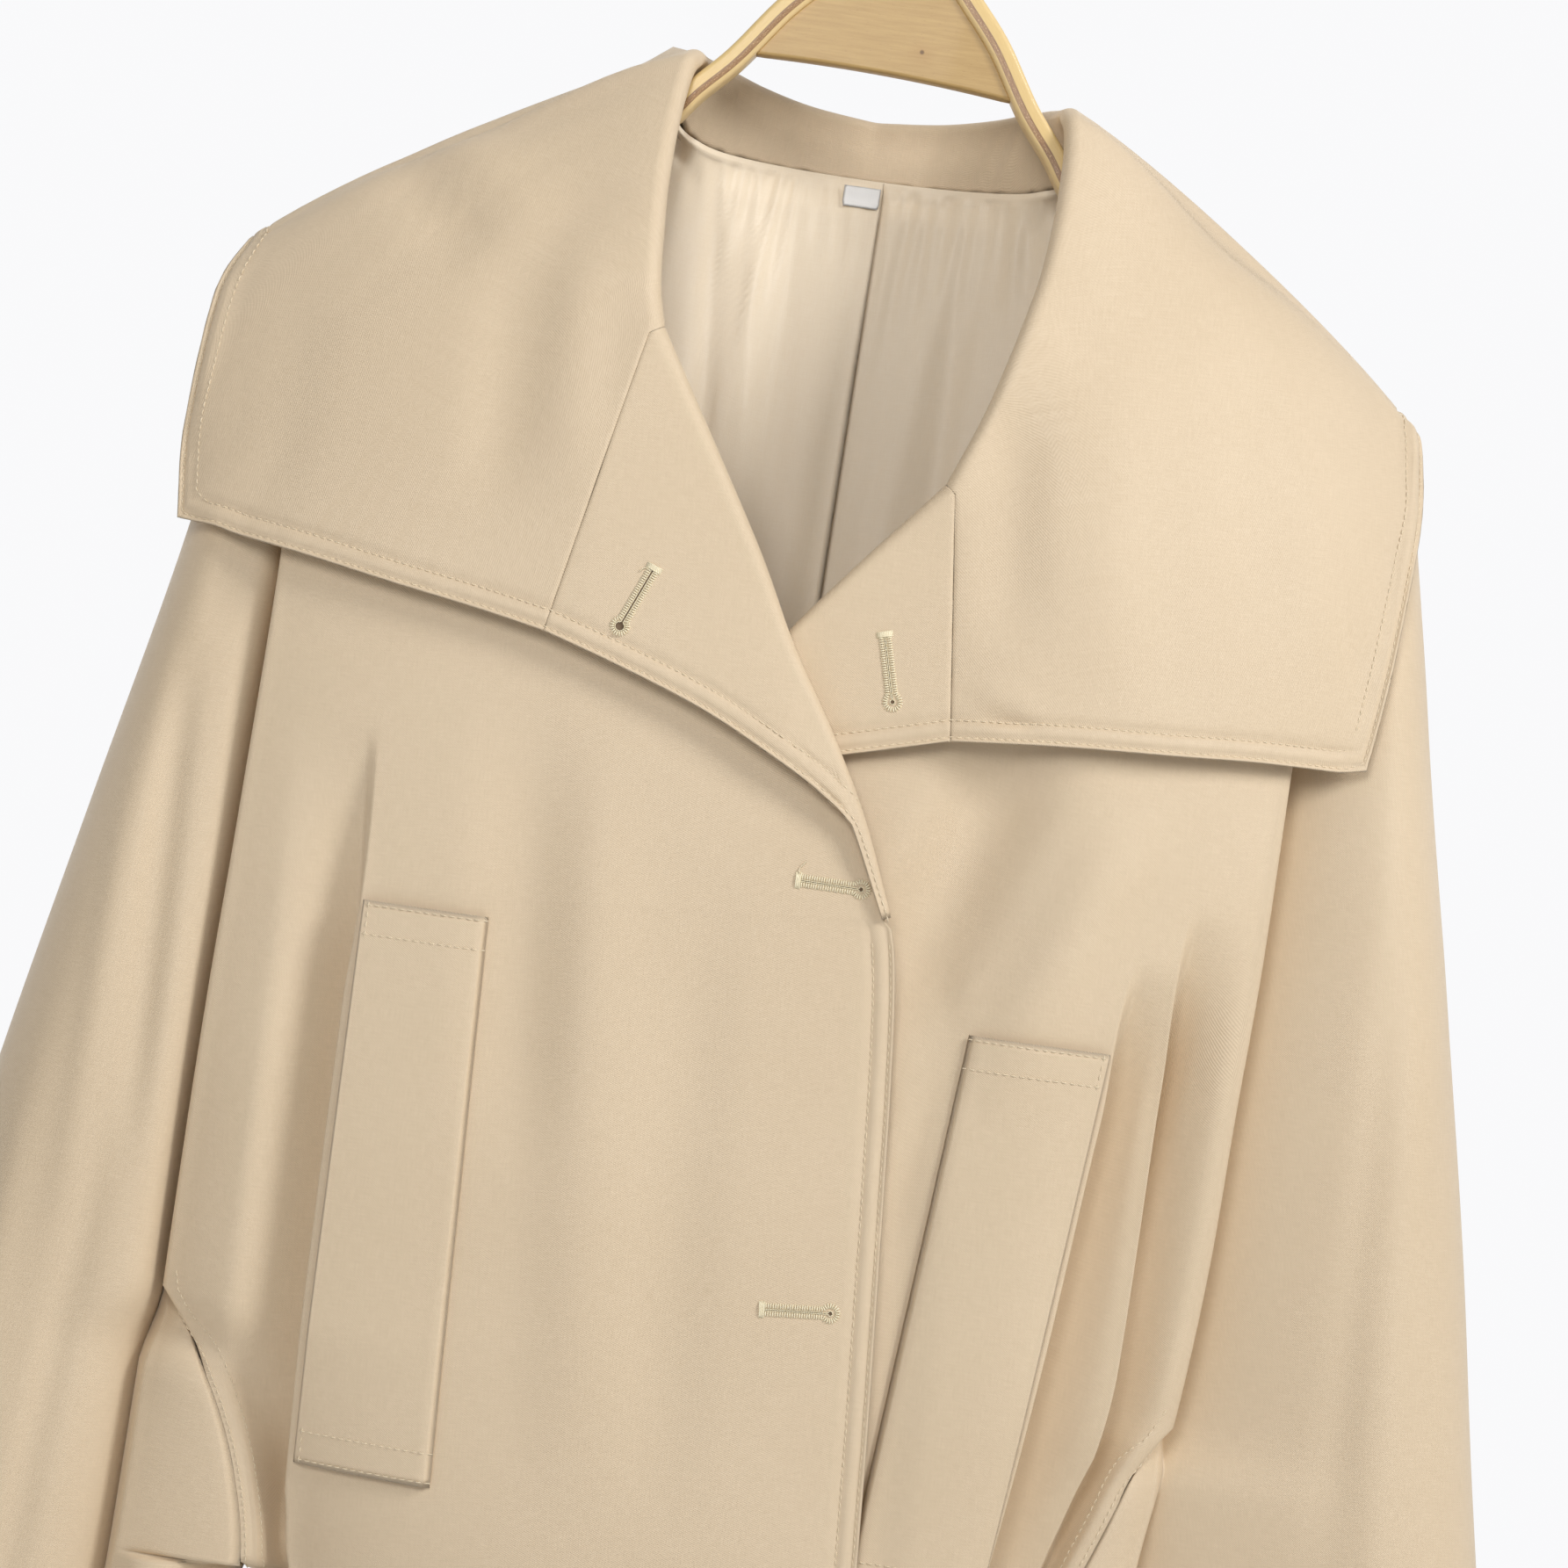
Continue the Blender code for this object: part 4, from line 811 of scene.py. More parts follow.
def thread_tree():
    """Lays bowed stitches along lines; every line's points know which way the cloth faces there."""
    tree = bpy.data.node_groups.new("rows_of_stitches", "GeometryNodeTree")
    for label, kind, value in TREE_INPUTS:
        socket = tree.interface.new_socket(name=label, in_out="INPUT", socket_type=kind)
        if value is not None:
            socket.default_value = value
    tree.interface.new_socket(name="Geometry", in_out="OUTPUT", socket_type="NodeSocketGeometry")
    given, result = tree.nodes.new("NodeGroupInput").outputs, tree.nodes.new("NodeGroupOutput")
    half = maths(tree, "MULTIPLY", given["length"], 0.5)
    sunk = maths(tree, "MULTIPLY", given["thread"], STITCH_SUNK)
    bow_line = add(tree, "GeometryNodeCurveQuadraticBezier", "Curve", {
        "Resolution": 4,
        "Start": vector(tree, maths(tree, "MULTIPLY", half, -1.0), 0.0, sunk),
        "Middle": vector(tree, 0.0, 0.0, maths(tree, "MULTIPLY", given["thread"], STITCH_HIGH)),
        "End": vector(tree, half, 0.0, sunk),
    })
    circle = add(tree, "GeometryNodeCurvePrimitiveCircle", "Curve",
                 {"Resolution": STITCH_SIDES, "Radius": given["thread"]})
    stitch = add(tree, "GeometryNodeCurveToMesh", "Mesh",
                 {"Curve": bow_line, "Profile Curve": circle, "Fill Caps": True})
    curve = add(tree, "GeometryNodeMeshToCurve", "Curve", {"Mesh": given["Geometry"]})
    places = add(tree, "GeometryNodeResampleCurve", "Curve", {"Curve": curve, "Length": given["pitch"]}, mode="LENGTH")
    tangent = add(tree, "GeometryNodeInputTangent", "Tangent", {})
    along = add(tree, "FunctionNodeAlignRotationToVector", "Rotation", {"Vector": tangent}, axis="X")
    lay = add(tree, "GeometryNodeInputNamedAttribute", "Attribute", {"Name": "lay"}, data_type="FLOAT_VECTOR")
    facing = add(tree, "FunctionNodeAlignRotationToVector", "Rotation", {"Rotation": along, "Vector": lay},
                 axis="Z", pivot_axis="X")
    uneven = add(tree, "FunctionNodeRandomValue", 1, {2: -STITCH_TURNS, 3: STITCH_TURNS, "Seed": given["seed"]},
                 data_type="FLOAT")
    spin = add(tree, "FunctionNodeAxisAngleToRotation", "Rotation",
               {"Axis": (0.0, 0.0, 1.0), "Angle": maths(tree, "ADD", given["turn"], uneven)})
    turned = add(tree, "FunctionNodeRotateRotation", "Rotation", {"Rotation": facing, "Rotate By": spin},
                 rotation_space="LOCAL")
    made = add(tree, "GeometryNodeInstanceOnPoints", "Instances",
               {"Points": places, "Instance": stitch, "Rotation": turned})
    made = add(tree, "GeometryNodeRealizeInstances", "Geometry", {"Geometry": made})
    made = add(tree, "GeometryNodeSetShadeSmooth", "Geometry", {"Geometry": made})
    made = add(tree, "GeometryNodeSetMaterial", "Geometry", {"Geometry": made, "Material": given["material"]})
    tree.links.new(made, result.inputs["Geometry"])
    return tree


def sewn_rows(rows, look, pitch=STITCHED[0], length=STITCHED[1], thread=STITCHED[2], turn=0.0, seed=1):
    """A mesh of stitches along rows of (points, normals) in millimetres."""
    mesh = bpy.data.meshes.new("thread_rows")
    edges, start = [], 0
    for points, _ in rows:
        edges += [(start + k, start + k + 1) for k in range(len(points) - 1)]
        start += len(points)
    mesh.from_pydata(np.concatenate([to_metres(points) for points, _ in rows]).tolist(), edges, [])
    lays = np.concatenate([normals for _, normals in rows]).astype(np.float32)
    mesh.attributes.new("lay", "FLOAT_VECTOR", "POINT").data.foreach_set("vector", lays.ravel())
    holder = in_scene("thread_rows", mesh)
    laid = holder.modifiers.new("rows", "NODES")
    laid.node_group = threads
    given = {"pitch": pitch * MM, "length": length * MM, "thread": thread * MM, "turn": turn, "seed": seed,
             "material": look}
    for item in threads.interface.items_tree:
        if item.in_out == "INPUT" and item.name in given:
            laid[item.identifier] = given[item.name]
    made = bpy.data.meshes.new_from_object(holder.evaluated_get(bpy.context.evaluated_depsgraph_get()))
    bpy.data.objects.remove(holder)
    return made


def join_meshes(name, meshes, looks):
    """One object of several meshes, each with its own finish."""
    points, faces, slots = [], [], []
    base = 0
    for mesh, look in zip(meshes, looks):
        place = np.empty(len(mesh.vertices) * 3)
        mesh.vertices.foreach_get("co", place)
        points.append(place.reshape(-1, 3))
        faces += [tuple(base + v for v in face.vertices) for face in mesh.polygons]
        slots += [look] * len(mesh.polygons)
        base += len(mesh.vertices)
    chosen = list(dict.fromkeys(slots))
    made = mesh_object(name, np.concatenate(points), faces, chosen[0])
    for look in chosen[1:]:
        made.data.materials.append(look)
    made.data.polygons.foreach_set("material_index", [chosen.index(look) for look in slots])
    return made


def rows_at(grid, outward, line, values, from_last=True, keep=None):
    """Rows of stitches at distances from an edge line; each line of the grid crosses them once."""
    normals = normals_of(grid, outward)
    distance, _ = beside(grid, line)
    if from_last:
        grid, normals, distance = grid[:, ::-1], normals[:, ::-1], distance[:, ::-1]
    rows = []
    for value in values:
        points, lays = [], []
        for r in range(len(grid)):
            if keep is not None and not keep[r]:
                continue
            past = np.nonzero(distance[r] >= value)[0]
            if len(past) == 0 or past[0] == 0:
                continue
            j = past[0]
            share = (value - distance[r, j - 1]) / (distance[r, j] - distance[r, j - 1])
            points.append(grid[r, j - 1] + (grid[r, j] - grid[r, j - 1]) * share)
            lays.append(normals[r, j])
        if len(points) > 2:
            rows.append((np.array(points), np.array(lays)))
    return rows


class Front:
    """The outer side of a grid, to lay something on it where it is seen from the front."""

    FAR, NEAR = -400.0, -60.0

    def __init__(self, grid):
        quads = grid_faces(*grid.shape[:2])[1]
        self.tree = BVHTree.FromPolygons(grid.reshape(-1, 3).tolist(), quads.tolist())

    def at(self, places, above=0.0):
        """Points and normals on the cloth at (x, z) places."""
        points, lays = [], []
        for x, z in places:
            point, normal = self.tree.ray_cast(Vector((x, self.FAR, z)), Vector((0.0, 1.0, 0.0)))[:2]
            if point is None:
                point, normal = self.tree.find_nearest(Vector((x, self.NEAR, z)))[:2]
            normal = -normal if normal.y > 0 else normal
            points.append(point + normal * above)
            lays.append(normal)
        return np.array(points), np.array(lays)


# ------------------------------------------------------------------ buttonholes
HOLE_HALF = 1.35          # from a buttonhole's middle line to the middle of its stitches
EYE_RADIUS = 2.65
# Each kind of sewing: from one stitch to the next, its length, the thread's radius, its turn and the seed.
WHIPPED = (0.82, 1.75, 0.3, math.pi / 2, 3)
CORDED = (0.8, 0.95, 0.17, 0.0, 4)
BARRED = (0.5, 5.4, 0.34, 0.0, 5)
LOOSE = (0.3, 0.5, 0.14, 0.0, 6)
BARS = (-0.3, 0.15, 0.6, 1.05)    # places of the bar's threads along the hole
SLIT_DEEP = 0.3
BUTTONHOLES = {
    # name: bar x, bar z, eye x, eye z, half width of the slit, half width of the eye's hole
    "placket_upper": (8.9, -275.8, 30.9, -276.0, 0.14, 0.7),
    "placket_lower": (16.9, -421.8, 40.5, -420.0, 0.14, 0.7),
    "lapel_right": (-53.6, -177.5, -62.5, -198.9, 0.3, 1.45),
    "lapel_left": (26.8, -188.4, 32.7, -211.3, 0.14, 0.7),
}
LOOSE_ENDS = {            # a thread's end left by the bar: places along the hole and across it
    "placket_upper": [(0.6, 2.6), (0.2, 3.6), (0.9, 5.0), (2.2, 6.6)],
    "lapel_right": [(1.5, -2.2), (2.4, -3.2), (3.9, -3.6)],
}


def buttonhole(name, cloth_front):
    """A keyhole buttonhole: whipped edges, a corded inner line, a bar at one end and a slit with an eye."""
    bar_x, bar_z, eye_x, eye_z, slit, hole = BUTTONHOLES[name]
    bar, eye = np.array([bar_x, bar_z]), np.array([eye_x, eye_z])
    length = float(np.linalg.norm(eye - bar))
    way = (eye - bar) / length
    square = np.array([-way[1], way[0]])

    def on_cloth(local, above):
        return cloth_front.at([bar + way * u + square * v for u, v in local], above)

    def outline(half, radius, first):
        """Round the hole at that distance from its slit and its eye."""
        open_angle = math.asin(half / radius)
        arc = np.linspace(math.pi - open_angle, -math.pi + open_angle, 26)
        straight = np.linspace(first, length - radius * math.cos(open_angle), 16)
        upper = [(u, half) for u in straight[:-1]]
        lower = [(u, -half) for u in straight[-2::-1]]
        return upper + [(length + radius * math.cos(a), radius * math.sin(a)) for a in arc] + lower

    sewing = [
        ([on_cloth(outline(HOLE_HALF, EYE_RADIUS, 0.9), 0.12)], WHIPPED),
        ([on_cloth(outline(slit + 0.12, hole + 0.14, 0.9), 0.2)], CORDED),
        ([on_cloth([(u, -0.1), (u, 0.1)], 0.25) for u in BARS], BARRED),
    ]
    if name in LOOSE_ENDS:
        curl = np.array(LOOSE_ENDS[name])
        dense = at_lengths(curl, np.arange(0.0, lengths(curl)[-1], 0.3))
        sewing.append(([on_cloth(dense, 0.5)], LOOSE))
    made = [sewn_rows(rows, buttonhole_silk, *kind) for rows, kind in sewing]
    # The slit and the eye's hole are a thin dark sheet: painted shade inside the opening.
    points, lays = on_cloth(outline(slit, hole, 1.0), 0.1)
    count, half = len(points), len(points) // 2
    dark = bpy.data.meshes.new("slit")
    round_it = [(k, (k + 1) % count, count + (k + 1) % count, count + k) for k in range(count)]
    top = [(k, k + 1, count - 2 - k, count - 1 - k) for k in range(half - 1)]
    bottom = [tuple(count + v for v in quad[::-1]) for quad in top]
    both = np.concatenate((points, points - lays * SLIT_DEEP))
    dark.from_pydata(to_metres(both).tolist(), [], top + bottom + round_it)
    return [*made, dark], [buttonhole_silk] * len(made) + [slit_shade]


# ------------------------------------------------------------------ lapels
ROLL = 12                 # pieces of the roll, and of the cloth that falls from it
FALL = 30
LEAST_FALL = 1.4          # the cloth that falls from the roll where the lapel ends
FOLD_GAP = 1.1            # from the fold's start to the edge of the front it is sewn to
LAPEL_SPACING = 3.2


def lapel_line(source, step, offset):
    """One line across a lapel: round the fold, then out to the edge; and where the front's edge lies."""
    value = {name: float(read(source, name, step)) for name in source}
    crest = np.array([value["crest_x"], value["crest_z"]])
    edge = np.array([value["edge_x"], value["edge_z"]])
    ends = [np.array([read(source, f"crest_{axis}", step + d) for axis in "xz"]) for d in (0.2, -0.2)]
    along = (ends[0] - ends[1]) / np.linalg.norm(ends[0] - ends[1])
    tip = np.array([-along[1], along[0]])
    if np.dot(tip, crest - edge) < 0:
        tip = -tip
    radius = value["radius"]
    foot = crest - tip * radius
    wide, down = float(np.dot(foot - edge, tip)), float(np.dot(edge - foot, along))
    edge = foot - tip * max(wide, LEAST_FALL) + along * down * min(max(wide / 2.0, 0.0), 1.0)
    inner_y = float(front_y(foot[0], foot[1]) + offset(foot[0], foot[1])) + WALL
    angles = np.linspace(0.0, math.pi, ROLL + 1)
    plan = foot + tip * radius * np.sin(angles)[:, None]
    roll = np.stack([plan[:, 0], inner_y - radius * (1.0 - np.cos(angles)), plan[:, 1]], axis=1)
    length = float(np.linalg.norm(edge - foot))
    shares = 1.0 - edge_places(length, FALL)[::-1] / length
    shares = shares[1:] if shares[0] <= 0 else shares
    plan = foot + (edge - foot) * shares[:, None]
    lift = (2 * radius - WALL) * (1 - shares) + value["lift"] * shares
    fall_y = front_y(plan[:, 0], plan[:, 1]) + offset(plan[:, 0], plan[:, 1]) - lift
    fall = np.stack([plan[:, 0], fall_y, plan[:, 1]], axis=1)
    return np.concatenate((roll, fall)), foot - tip * FOLD_GAP


def even_steps(source, first, last, spacing):
    """Steps of a table from first to last, so that the edge's points lie evenly apart."""
    fine = np.linspace(first, last, 400)
    axes = [a for a in "xyz" if f"edge_{a}" in source]
    line = np.stack([read(source, f"edge_{a}", fine) for a in axes], axis=1)
    crests = np.stack([read(source, f"crest_{a}", fine) for a in axes], axis=1)
    along = np.maximum(lengths(line), lengths(crests))
    count = max(2, math.ceil(along[-1] / spacing))
    return np.interp(np.linspace(0.0, along[-1], count + 1), along, fine)


def lapel(name, source, offset, last):
    steps = with_seam_steps(even_steps(source, 0.0, last, LAPEL_SPACING))
    grid = np.array([lapel_line(source, s, offset)[0] for s in steps])
    wide = np.linalg.norm(grid[:, -1] - grid[:, ROLL], axis=1)
    fade = smooth((1.0 - steps / last) / 0.12) if name == "lapel_right" else np.ones(len(steps))
    worked = smooth((wide - 3.0) / 7.0)
    grid = shaped(grid, FACES_FRONT, [(grid[:, -1], stitched_edge, worked), (grid[0, ROLL:], seam_line, 1.0)])
    thick = COLLAR_WALL * (0.35 + 0.65 * fade)
    wall(name, grid, FACES_FRONT, coat_twill, thick[:, None], grid[:, :, ::2])
    return grid


# ------------------------------------------------------------------ fronts and back
UPPER = (0.0, 0.003, 0.025, 0.08, 0.18, 0.36, 0.6, 0.8, 1.0)    # shares of the way from the tip to the yoke
CHEST = (-215, -240, -262, -285)
LOWER = (-305, -365, -425, -446, -459, -474, -503, -530, -536, -539, -541)
WAIST = (-556, -580, -604)
SKIRT = (-640, -720, -900, HEM)
NECK_STEPS = (4.0, 3.99, 3.9, 3.7, 3.3, 2.4, 1.0, 0.0)
NECK_ROWS = 6.0           # the front's inner edge follows the neck seam up to this row, and the lapel from the next
LAPEL_RIGHT_STEP = 0.94   # steps of the right lapel in one row of its front
LAPEL_RIGHT_SLOW = (12.0, 4.7, 1.3 / 0.85)    # from this row and step on, so many steps in one row
FRONT_ROWS = {
    # side: lapel, how far it lies back, its last step, the row it ends at, the front edge's first row, its heights
    "right": (LAPEL_RIGHT, no_offset, 6.0, 12.85, 13.0, FRONT_EDGE_RIGHT, (-288.0, *LOWER[1:], *WAIST, *SKIRT)),
    "left": (LAPEL_LEFT, underlap, 3.0, 10.0, 11.0, FRONT_EDGE_LEFT, (-262, -287, *LOWER, *WAIST, *SKIRT)),
}
FRONT_COLUMNS = {"right": (54, 14, 16), "left": (46, 14, 6, 14, 8)}    # columns of each stretch of a front's row
FRONT_FOLDS = {"right": [FOLD_RIGHT], "left": [FOLD_LEFT_INNER, FOLD_LEFT_OUTER]}
BACK_COLUMNS = (22, 16)
CREASE_END = -447         # where the armhole seam comes out of the crease
LIP_POINTS = 8
LIP = 4.0                 # width of the strip that turns into the crease
LIP_BACK = 1.2            # its end lies this far back under the panel
LIP_FROM = 3.0            # where the surface is read that the depth is measured from
LIP_DEEP = 5.5            # how deep its end lies


def lower_than(z, mark, reach):
    """0 above a mark, growing softly to 1 so far below it."""
    return float(smooth((mark - z) / reach))


def higher_than(z, mark, reach):
    """0 below a mark, growing softly to 1 so far above it."""
    return float(smooth((z - mark) / reach))


def levels(side):
    """Heights of a panel's rows at its outer edge, from the sleeve's tip to the hem."""
    upper = [TIP[side] + (YOKE - TIP[side]) * share for share in UPPER]
    return np.array((*upper, *CHEST, *LOWER, *WAIST, *SKIRT))


def fold_shift(across, z, fold, last):
    """Sideways and inward shift of a point by one overlapping fold whose edge faces the side."""
    edge = read(fold, "x", z)
    room = np.maximum(last - edge - FOLD_HALF, 1.0)
    size = read(fold, "size", z) * np.minimum(1.0, room / 12.0)
    t = (across - edge) / FOLD_HALF
    aside = np.where(np.abs(t) < 1, -FOLD_OVERLAP * np.sin(math.pi * t), 0.0) * size**2
    back_up = np.clip((across - edge - FOLD_HALF * 0.6) / np.minimum(room, 26.0), 0.0, 1.0)
    recover = 1.0 - 0.6 * back_up - 0.4 * smooth(back_up)
    return aside, FOLD_DEPTH * size * smooth((t + 0.5) / 1.3) * recover


def armhole(z, side):
    """Distance of a panel's outer edge from the middle: the crease's edge, the seam, then the side."""
    return float(read(CREASE if z > CREASE_END else SEAM if z > UNDERARM else BODY, side, z))


def tucked(z):
    """1 where the armhole seam lies inside the crease, 0 where it shows on the panel."""
    return higher_than(z, -475.0, 30.0) * lower_than(z, -100.0, 70.0)


def apart(y, face):
    """Keeps a seam's edge on its own side of the shoulder line's plane."""
    return face * np.maximum(face * np.asarray(y), SEAM_HALF)


def lip(outer, z_start, z_end, sign, face, surface):
    """Last points of a panel's row: the cloth turns into the crease by the sleeve."""
    share = tucked(z_end)
    x = outer * sign
    start = np.array([x - sign * LIP, apart(surface(x - sign * LIP, z_start), face)])
    flat_end = np.array([x, apart(surface(x, z_end), face)])
    deep_end = np.array([x - sign * LIP_BACK, surface(x - sign * LIP_FROM, z_end) - face * LIP_DEEP])
    flat_end[1] += face * 0.5 * higher_than(z_end, -100.0, 15.0)
    end = flat_end + (deep_end - flat_end) * share
    corner = start + (flat_end - start) * 0.7 + np.array([sign * 2.4, face * 0.4]) * share
    shares = np.linspace(0.0, 1.0, LIP_POINTS + 1)
    line = bezier(start, corner, corner + (end - corner) * 0.4, end, shares)
    return [(x, y, z_start + (z_end - z_start) * s) for (x, y), s in zip(line, shares)][1:]


def crown(across, z_outer, side):
    """How far a row near the shoulder lies above the straight line between its ends."""
    tip_x, neck_z = float(read(CREASE, side, TIP[side])), float(SHOULDER[side][0])
    chord = neck_z + (TIP[side] - neck_z) * (across - NECK_HALF) / (tip_x - NECK_HALF)
    above = np.where(across > NECK_HALF, read(SHOULDER, side, across) - chord, 0.0)
    return above * smooth((z_outer - YOKE) / 100.0)


def turned_places(start, stop, half, count):
    """Places between two distances from the middle, closer together where the section turns to the side."""
    first, last = (math.asin(min(1.0, v / half) ** (FLATNESS / 2)) for v in (start, stop))
    return half * np.sin(np.linspace(first, last, count + 1)) ** (2 / FLATNESS)


def panel_row(inner, z_outer, sign, face, surface, folds, counts):
    """One row of a panel from its inner point out to the armhole or side seam.

    sign is -1 on the wearer's right, face is -1 on the front; counts holds the columns of each stretch.
    """
    side = "right" if sign < 0 else "left"
    outer = armhole(z_outer, side)
    open_side = z_outer > UNDERARM + 1
    half = float(read(BODY, side, z_outer))
    breaks = [inner[0] * sign]
    for fold in folds:
        edge = float(read(fold, "x", z_outer))
        breaks += [edge - FOLD_HALF, edge + FOLD_HALF]
    if not folds:
        breaks.append(outer * 0.62)
    across = [np.linspace(a, b, n, endpoint=False) for a, b, n in zip(breaks, breaks[1:], counts)]
    if folds:
        across[0] = breaks[0] + edge_places(breaks[1] - breaks[0], counts[0])[:-1]
    last = outer - LIP if open_side else outer
    extra = 0 if open_side else LIP_POINTS
    across.append(turned_places(breaks[-1], last, half, counts[-1] + extra))
    across = np.concatenate(across)
    z = inner[1] + (z_outer - inner[1]) * (across - across[0]) / (outer - across[0])
    z = z + crown(across, z_outer, side)
    y = surface(across * sign, z)
    for fold in folds:
        aside, inward = fold_shift(across, z, fold, last)
        across = across + aside
        y = y - face * inward * np.minimum(1.0, np.abs(y) / 20.0)
    points = list(zip(across * sign, apart(y, face), z))
    if open_side:
        points += lip(outer, z[-1], z_outer, sign, face, surface)
    return points


def row_numbers(side, inner, spacing=6.0, skirt_spacing=11.0):
    """Row numbers between the coat's own rows, so that no two rows are further apart than the spacing."""
    heights = levels(side)
    numbers = [0.0]
    for k in range(len(heights) - 1):
        reach = max(abs(heights[k + 1] - heights[k]), math.dist(inner(float(k)), inner(k + 1.0)))
        count = max(1, math.ceil(reach / (spacing if heights[k + 1] > -660 else skirt_spacing)))
        numbers += list(k + np.arange(1, count + 1) / count)
    return np.array(numbers)


def level(side, number):
    heights = levels(side)
    return float(np.interp(number, np.arange(len(heights)), heights))


def inner_edge(side, number):
    """The front's inner edge at a row number: neck seam, lapel fold, then the front edge."""
    lapel_table, offset, last_step, fold_end, first_row, edge, heights = FRONT_ROWS[side]
    step = float(np.interp(number, np.arange(len(NECK_STEPS)), NECK_STEPS))
    sign = -1.0 if side == "right" else 1.0

    def on_seam(at):
        return np.array([float(read(NECK_SEAM, f"{side}_{axis}", at)) for axis in "xz"]) * (sign, 1.0)

    def on_fold(at):
        return lapel_line(lapel_table, float(np.clip(at, 0.0, last_step)), offset)[1]

    if number <= NECK_ROWS:
        return tuple(on_seam(step))
    if number < NECK_ROWS + 1:
        return tuple(on_seam(step) + (on_fold(0.0) - on_seam(0.0)) * (number - NECK_ROWS))
    if number <= fold_end:
        at = number - NECK_ROWS - 1
        if side == "right":
            slow_row, slow_step, slow = LAPEL_RIGHT_SLOW
            at = slow_step + slow * (number - slow_row) if number > slow_row else at * LAPEL_RIGHT_STEP
        return tuple(on_fold(at))
    z = float(np.interp(number, first_row + np.arange(len(heights)), heights))
    point = np.array([float(read(edge, "x", z)), z])
    if number < first_row:
        begin = on_fold(last_step)
        return tuple(begin + (point - begin) * (number - fold_end) / (first_row - fold_end))
    return tuple(point)


def front(side):
    """A front panel: the right one laps over the left."""
    sign, surface = (-1, front_y) if side == "right" else (1, left_front_y)
    numbers = row_numbers(side, lambda n: inner_edge(side, n))
    grid = np.array([panel_row(inner_edge(side, n), level(side, n), sign, -1, surface, FRONT_FOLDS[side],
                               FRONT_COLUMNS[side]) for n in numbers])
    shown = 1.0 - np.array([tucked(level(side, n)) for n in numbers])
    edges = [(grid[:, -1], sewn_edge, 0.4 * shown)]
    if side == "right":
        begin = int(np.searchsorted(numbers, FRONT_ROWS[side][4]))
        edges.insert(0, (grid[begin:, 0], stitched_edge, smooth((numbers - 12.9) / 0.15)))
    grid = shaped(grid, FACES_FRONT, edges)
    wall(f"front_{side}", grid, FACES_FRONT, coat_twill)
    return grid


def back_rows(sign, spacing=8.0, skirt_spacing=14.0):
    """Rows of one half of the back, from its middle outwards."""
    side = "right" if sign < 0 else "left"
    neck = NECK_HALF * np.sin(np.linspace(0.0, math.pi / 2, 16))
    rows = []
    for n in row_numbers("right", lambda n: (0.0, level("right", n)), spacing, skirt_spacing):
        z_outer = level(side, n)
        if n > len(UPPER) - 1:
            rows.append(panel_row((0.0, z_outer), z_outer, sign, 1, back_y, [], BACK_COLUMNS))
            continue
        share = float(np.interp(n, np.arange(len(UPPER)), UPPER))
        outer = armhole(z_outer, side)
        across = np.concatenate((neck[:-1], np.linspace(NECK_HALF, outer - LIP, 24)))
        x = across * sign
        top = np.where(across < NECK_HALF, neck_height(x), shoulder(x))
        z = top + (YOKE - top) * share
        row = list(zip(x, apart(back_y(x, z), 1), z))
        rows.append(row + lip(outer, z[-1], z_outer, sign, 1, back_y))
    return rows


def back():
    right, left = back_rows(-1), back_rows(1)
    grid = np.array([a[:0:-1] + b for a, b in zip(right, left)])
    wall("back", grid, FACES_BACK, coat_twill, uv=grid[:, :, ::2] * (-1, 1))
    return grid


# ------------------------------------------------------------------ sleeves
BRIM_SHARE = 0.25         # places of the brim and the valley on the plain line of the sleeve's head
VALLEY_SHARE = 0.6
BRIM_OUT = 5.0            # how far the crease's edge bulges over its valley
SWELL_REACH = 8.0         # how soon the sleeve leaves its valley
WEB_SWELL = 2.0           # how far the cloth between the armhole seam and the crease bulges
WEB_FULL = 28.0           # near the underarm it bulges further, up to about this depth
VALLEY_DEEPER = 6.0       # how much deeper the crease is on the right
STEEP = {"right": 1.05, "left": 0.15}    # how steeply a sleeve rises out of its crease
STEEPER = {"right": 0.2, "left": 0.0}    # and so much more where the armhole seam lies inside the crease
CLOSE = 9.0               # how soon it is level again there, on the right
SLEEVE_COUNTS = (9, 12, 20, 22)     # pieces of the web, the turned edge, the swell and the round outside
BY_UNDERARM = (-534.0, -536.2, -537.6, -538.6, -539.4, -540.2, -541.2)    # more rows where the armhole closes


def sleeve_start(z, sign, surface):
    """Where a sleeve's line starts: by the armhole seam, or by the underarm seam below it."""
    side = "right" if sign < 0 else "left"
    if z <= UNDERARM + 1:
        return np.array([float(read(SLEEVE_INNER, side, z)), SEAM_HALF + 0.8 * higher_than(z, -571.0, 30.0)])
    seam = armhole(z, side)
    flat = np.array([seam, abs(float(surface(seam * sign, z)))])
    inside = abs(float(surface((seam - LIP_FROM) * sign, z))) - LIP_DEEP - GAP
    start = flat + (np.array([seam - LIP_BACK, inside]) - flat) * tucked(z)
    start[1] = max(start[1], SEAM_HALF)
    return start


def between(start, end, share, place, begun):
    """The place itself, or where the sleeve's head is still plain the point at that share of its line."""
    plain = start + (end - start) * share
    return plain + (place - plain) * begun


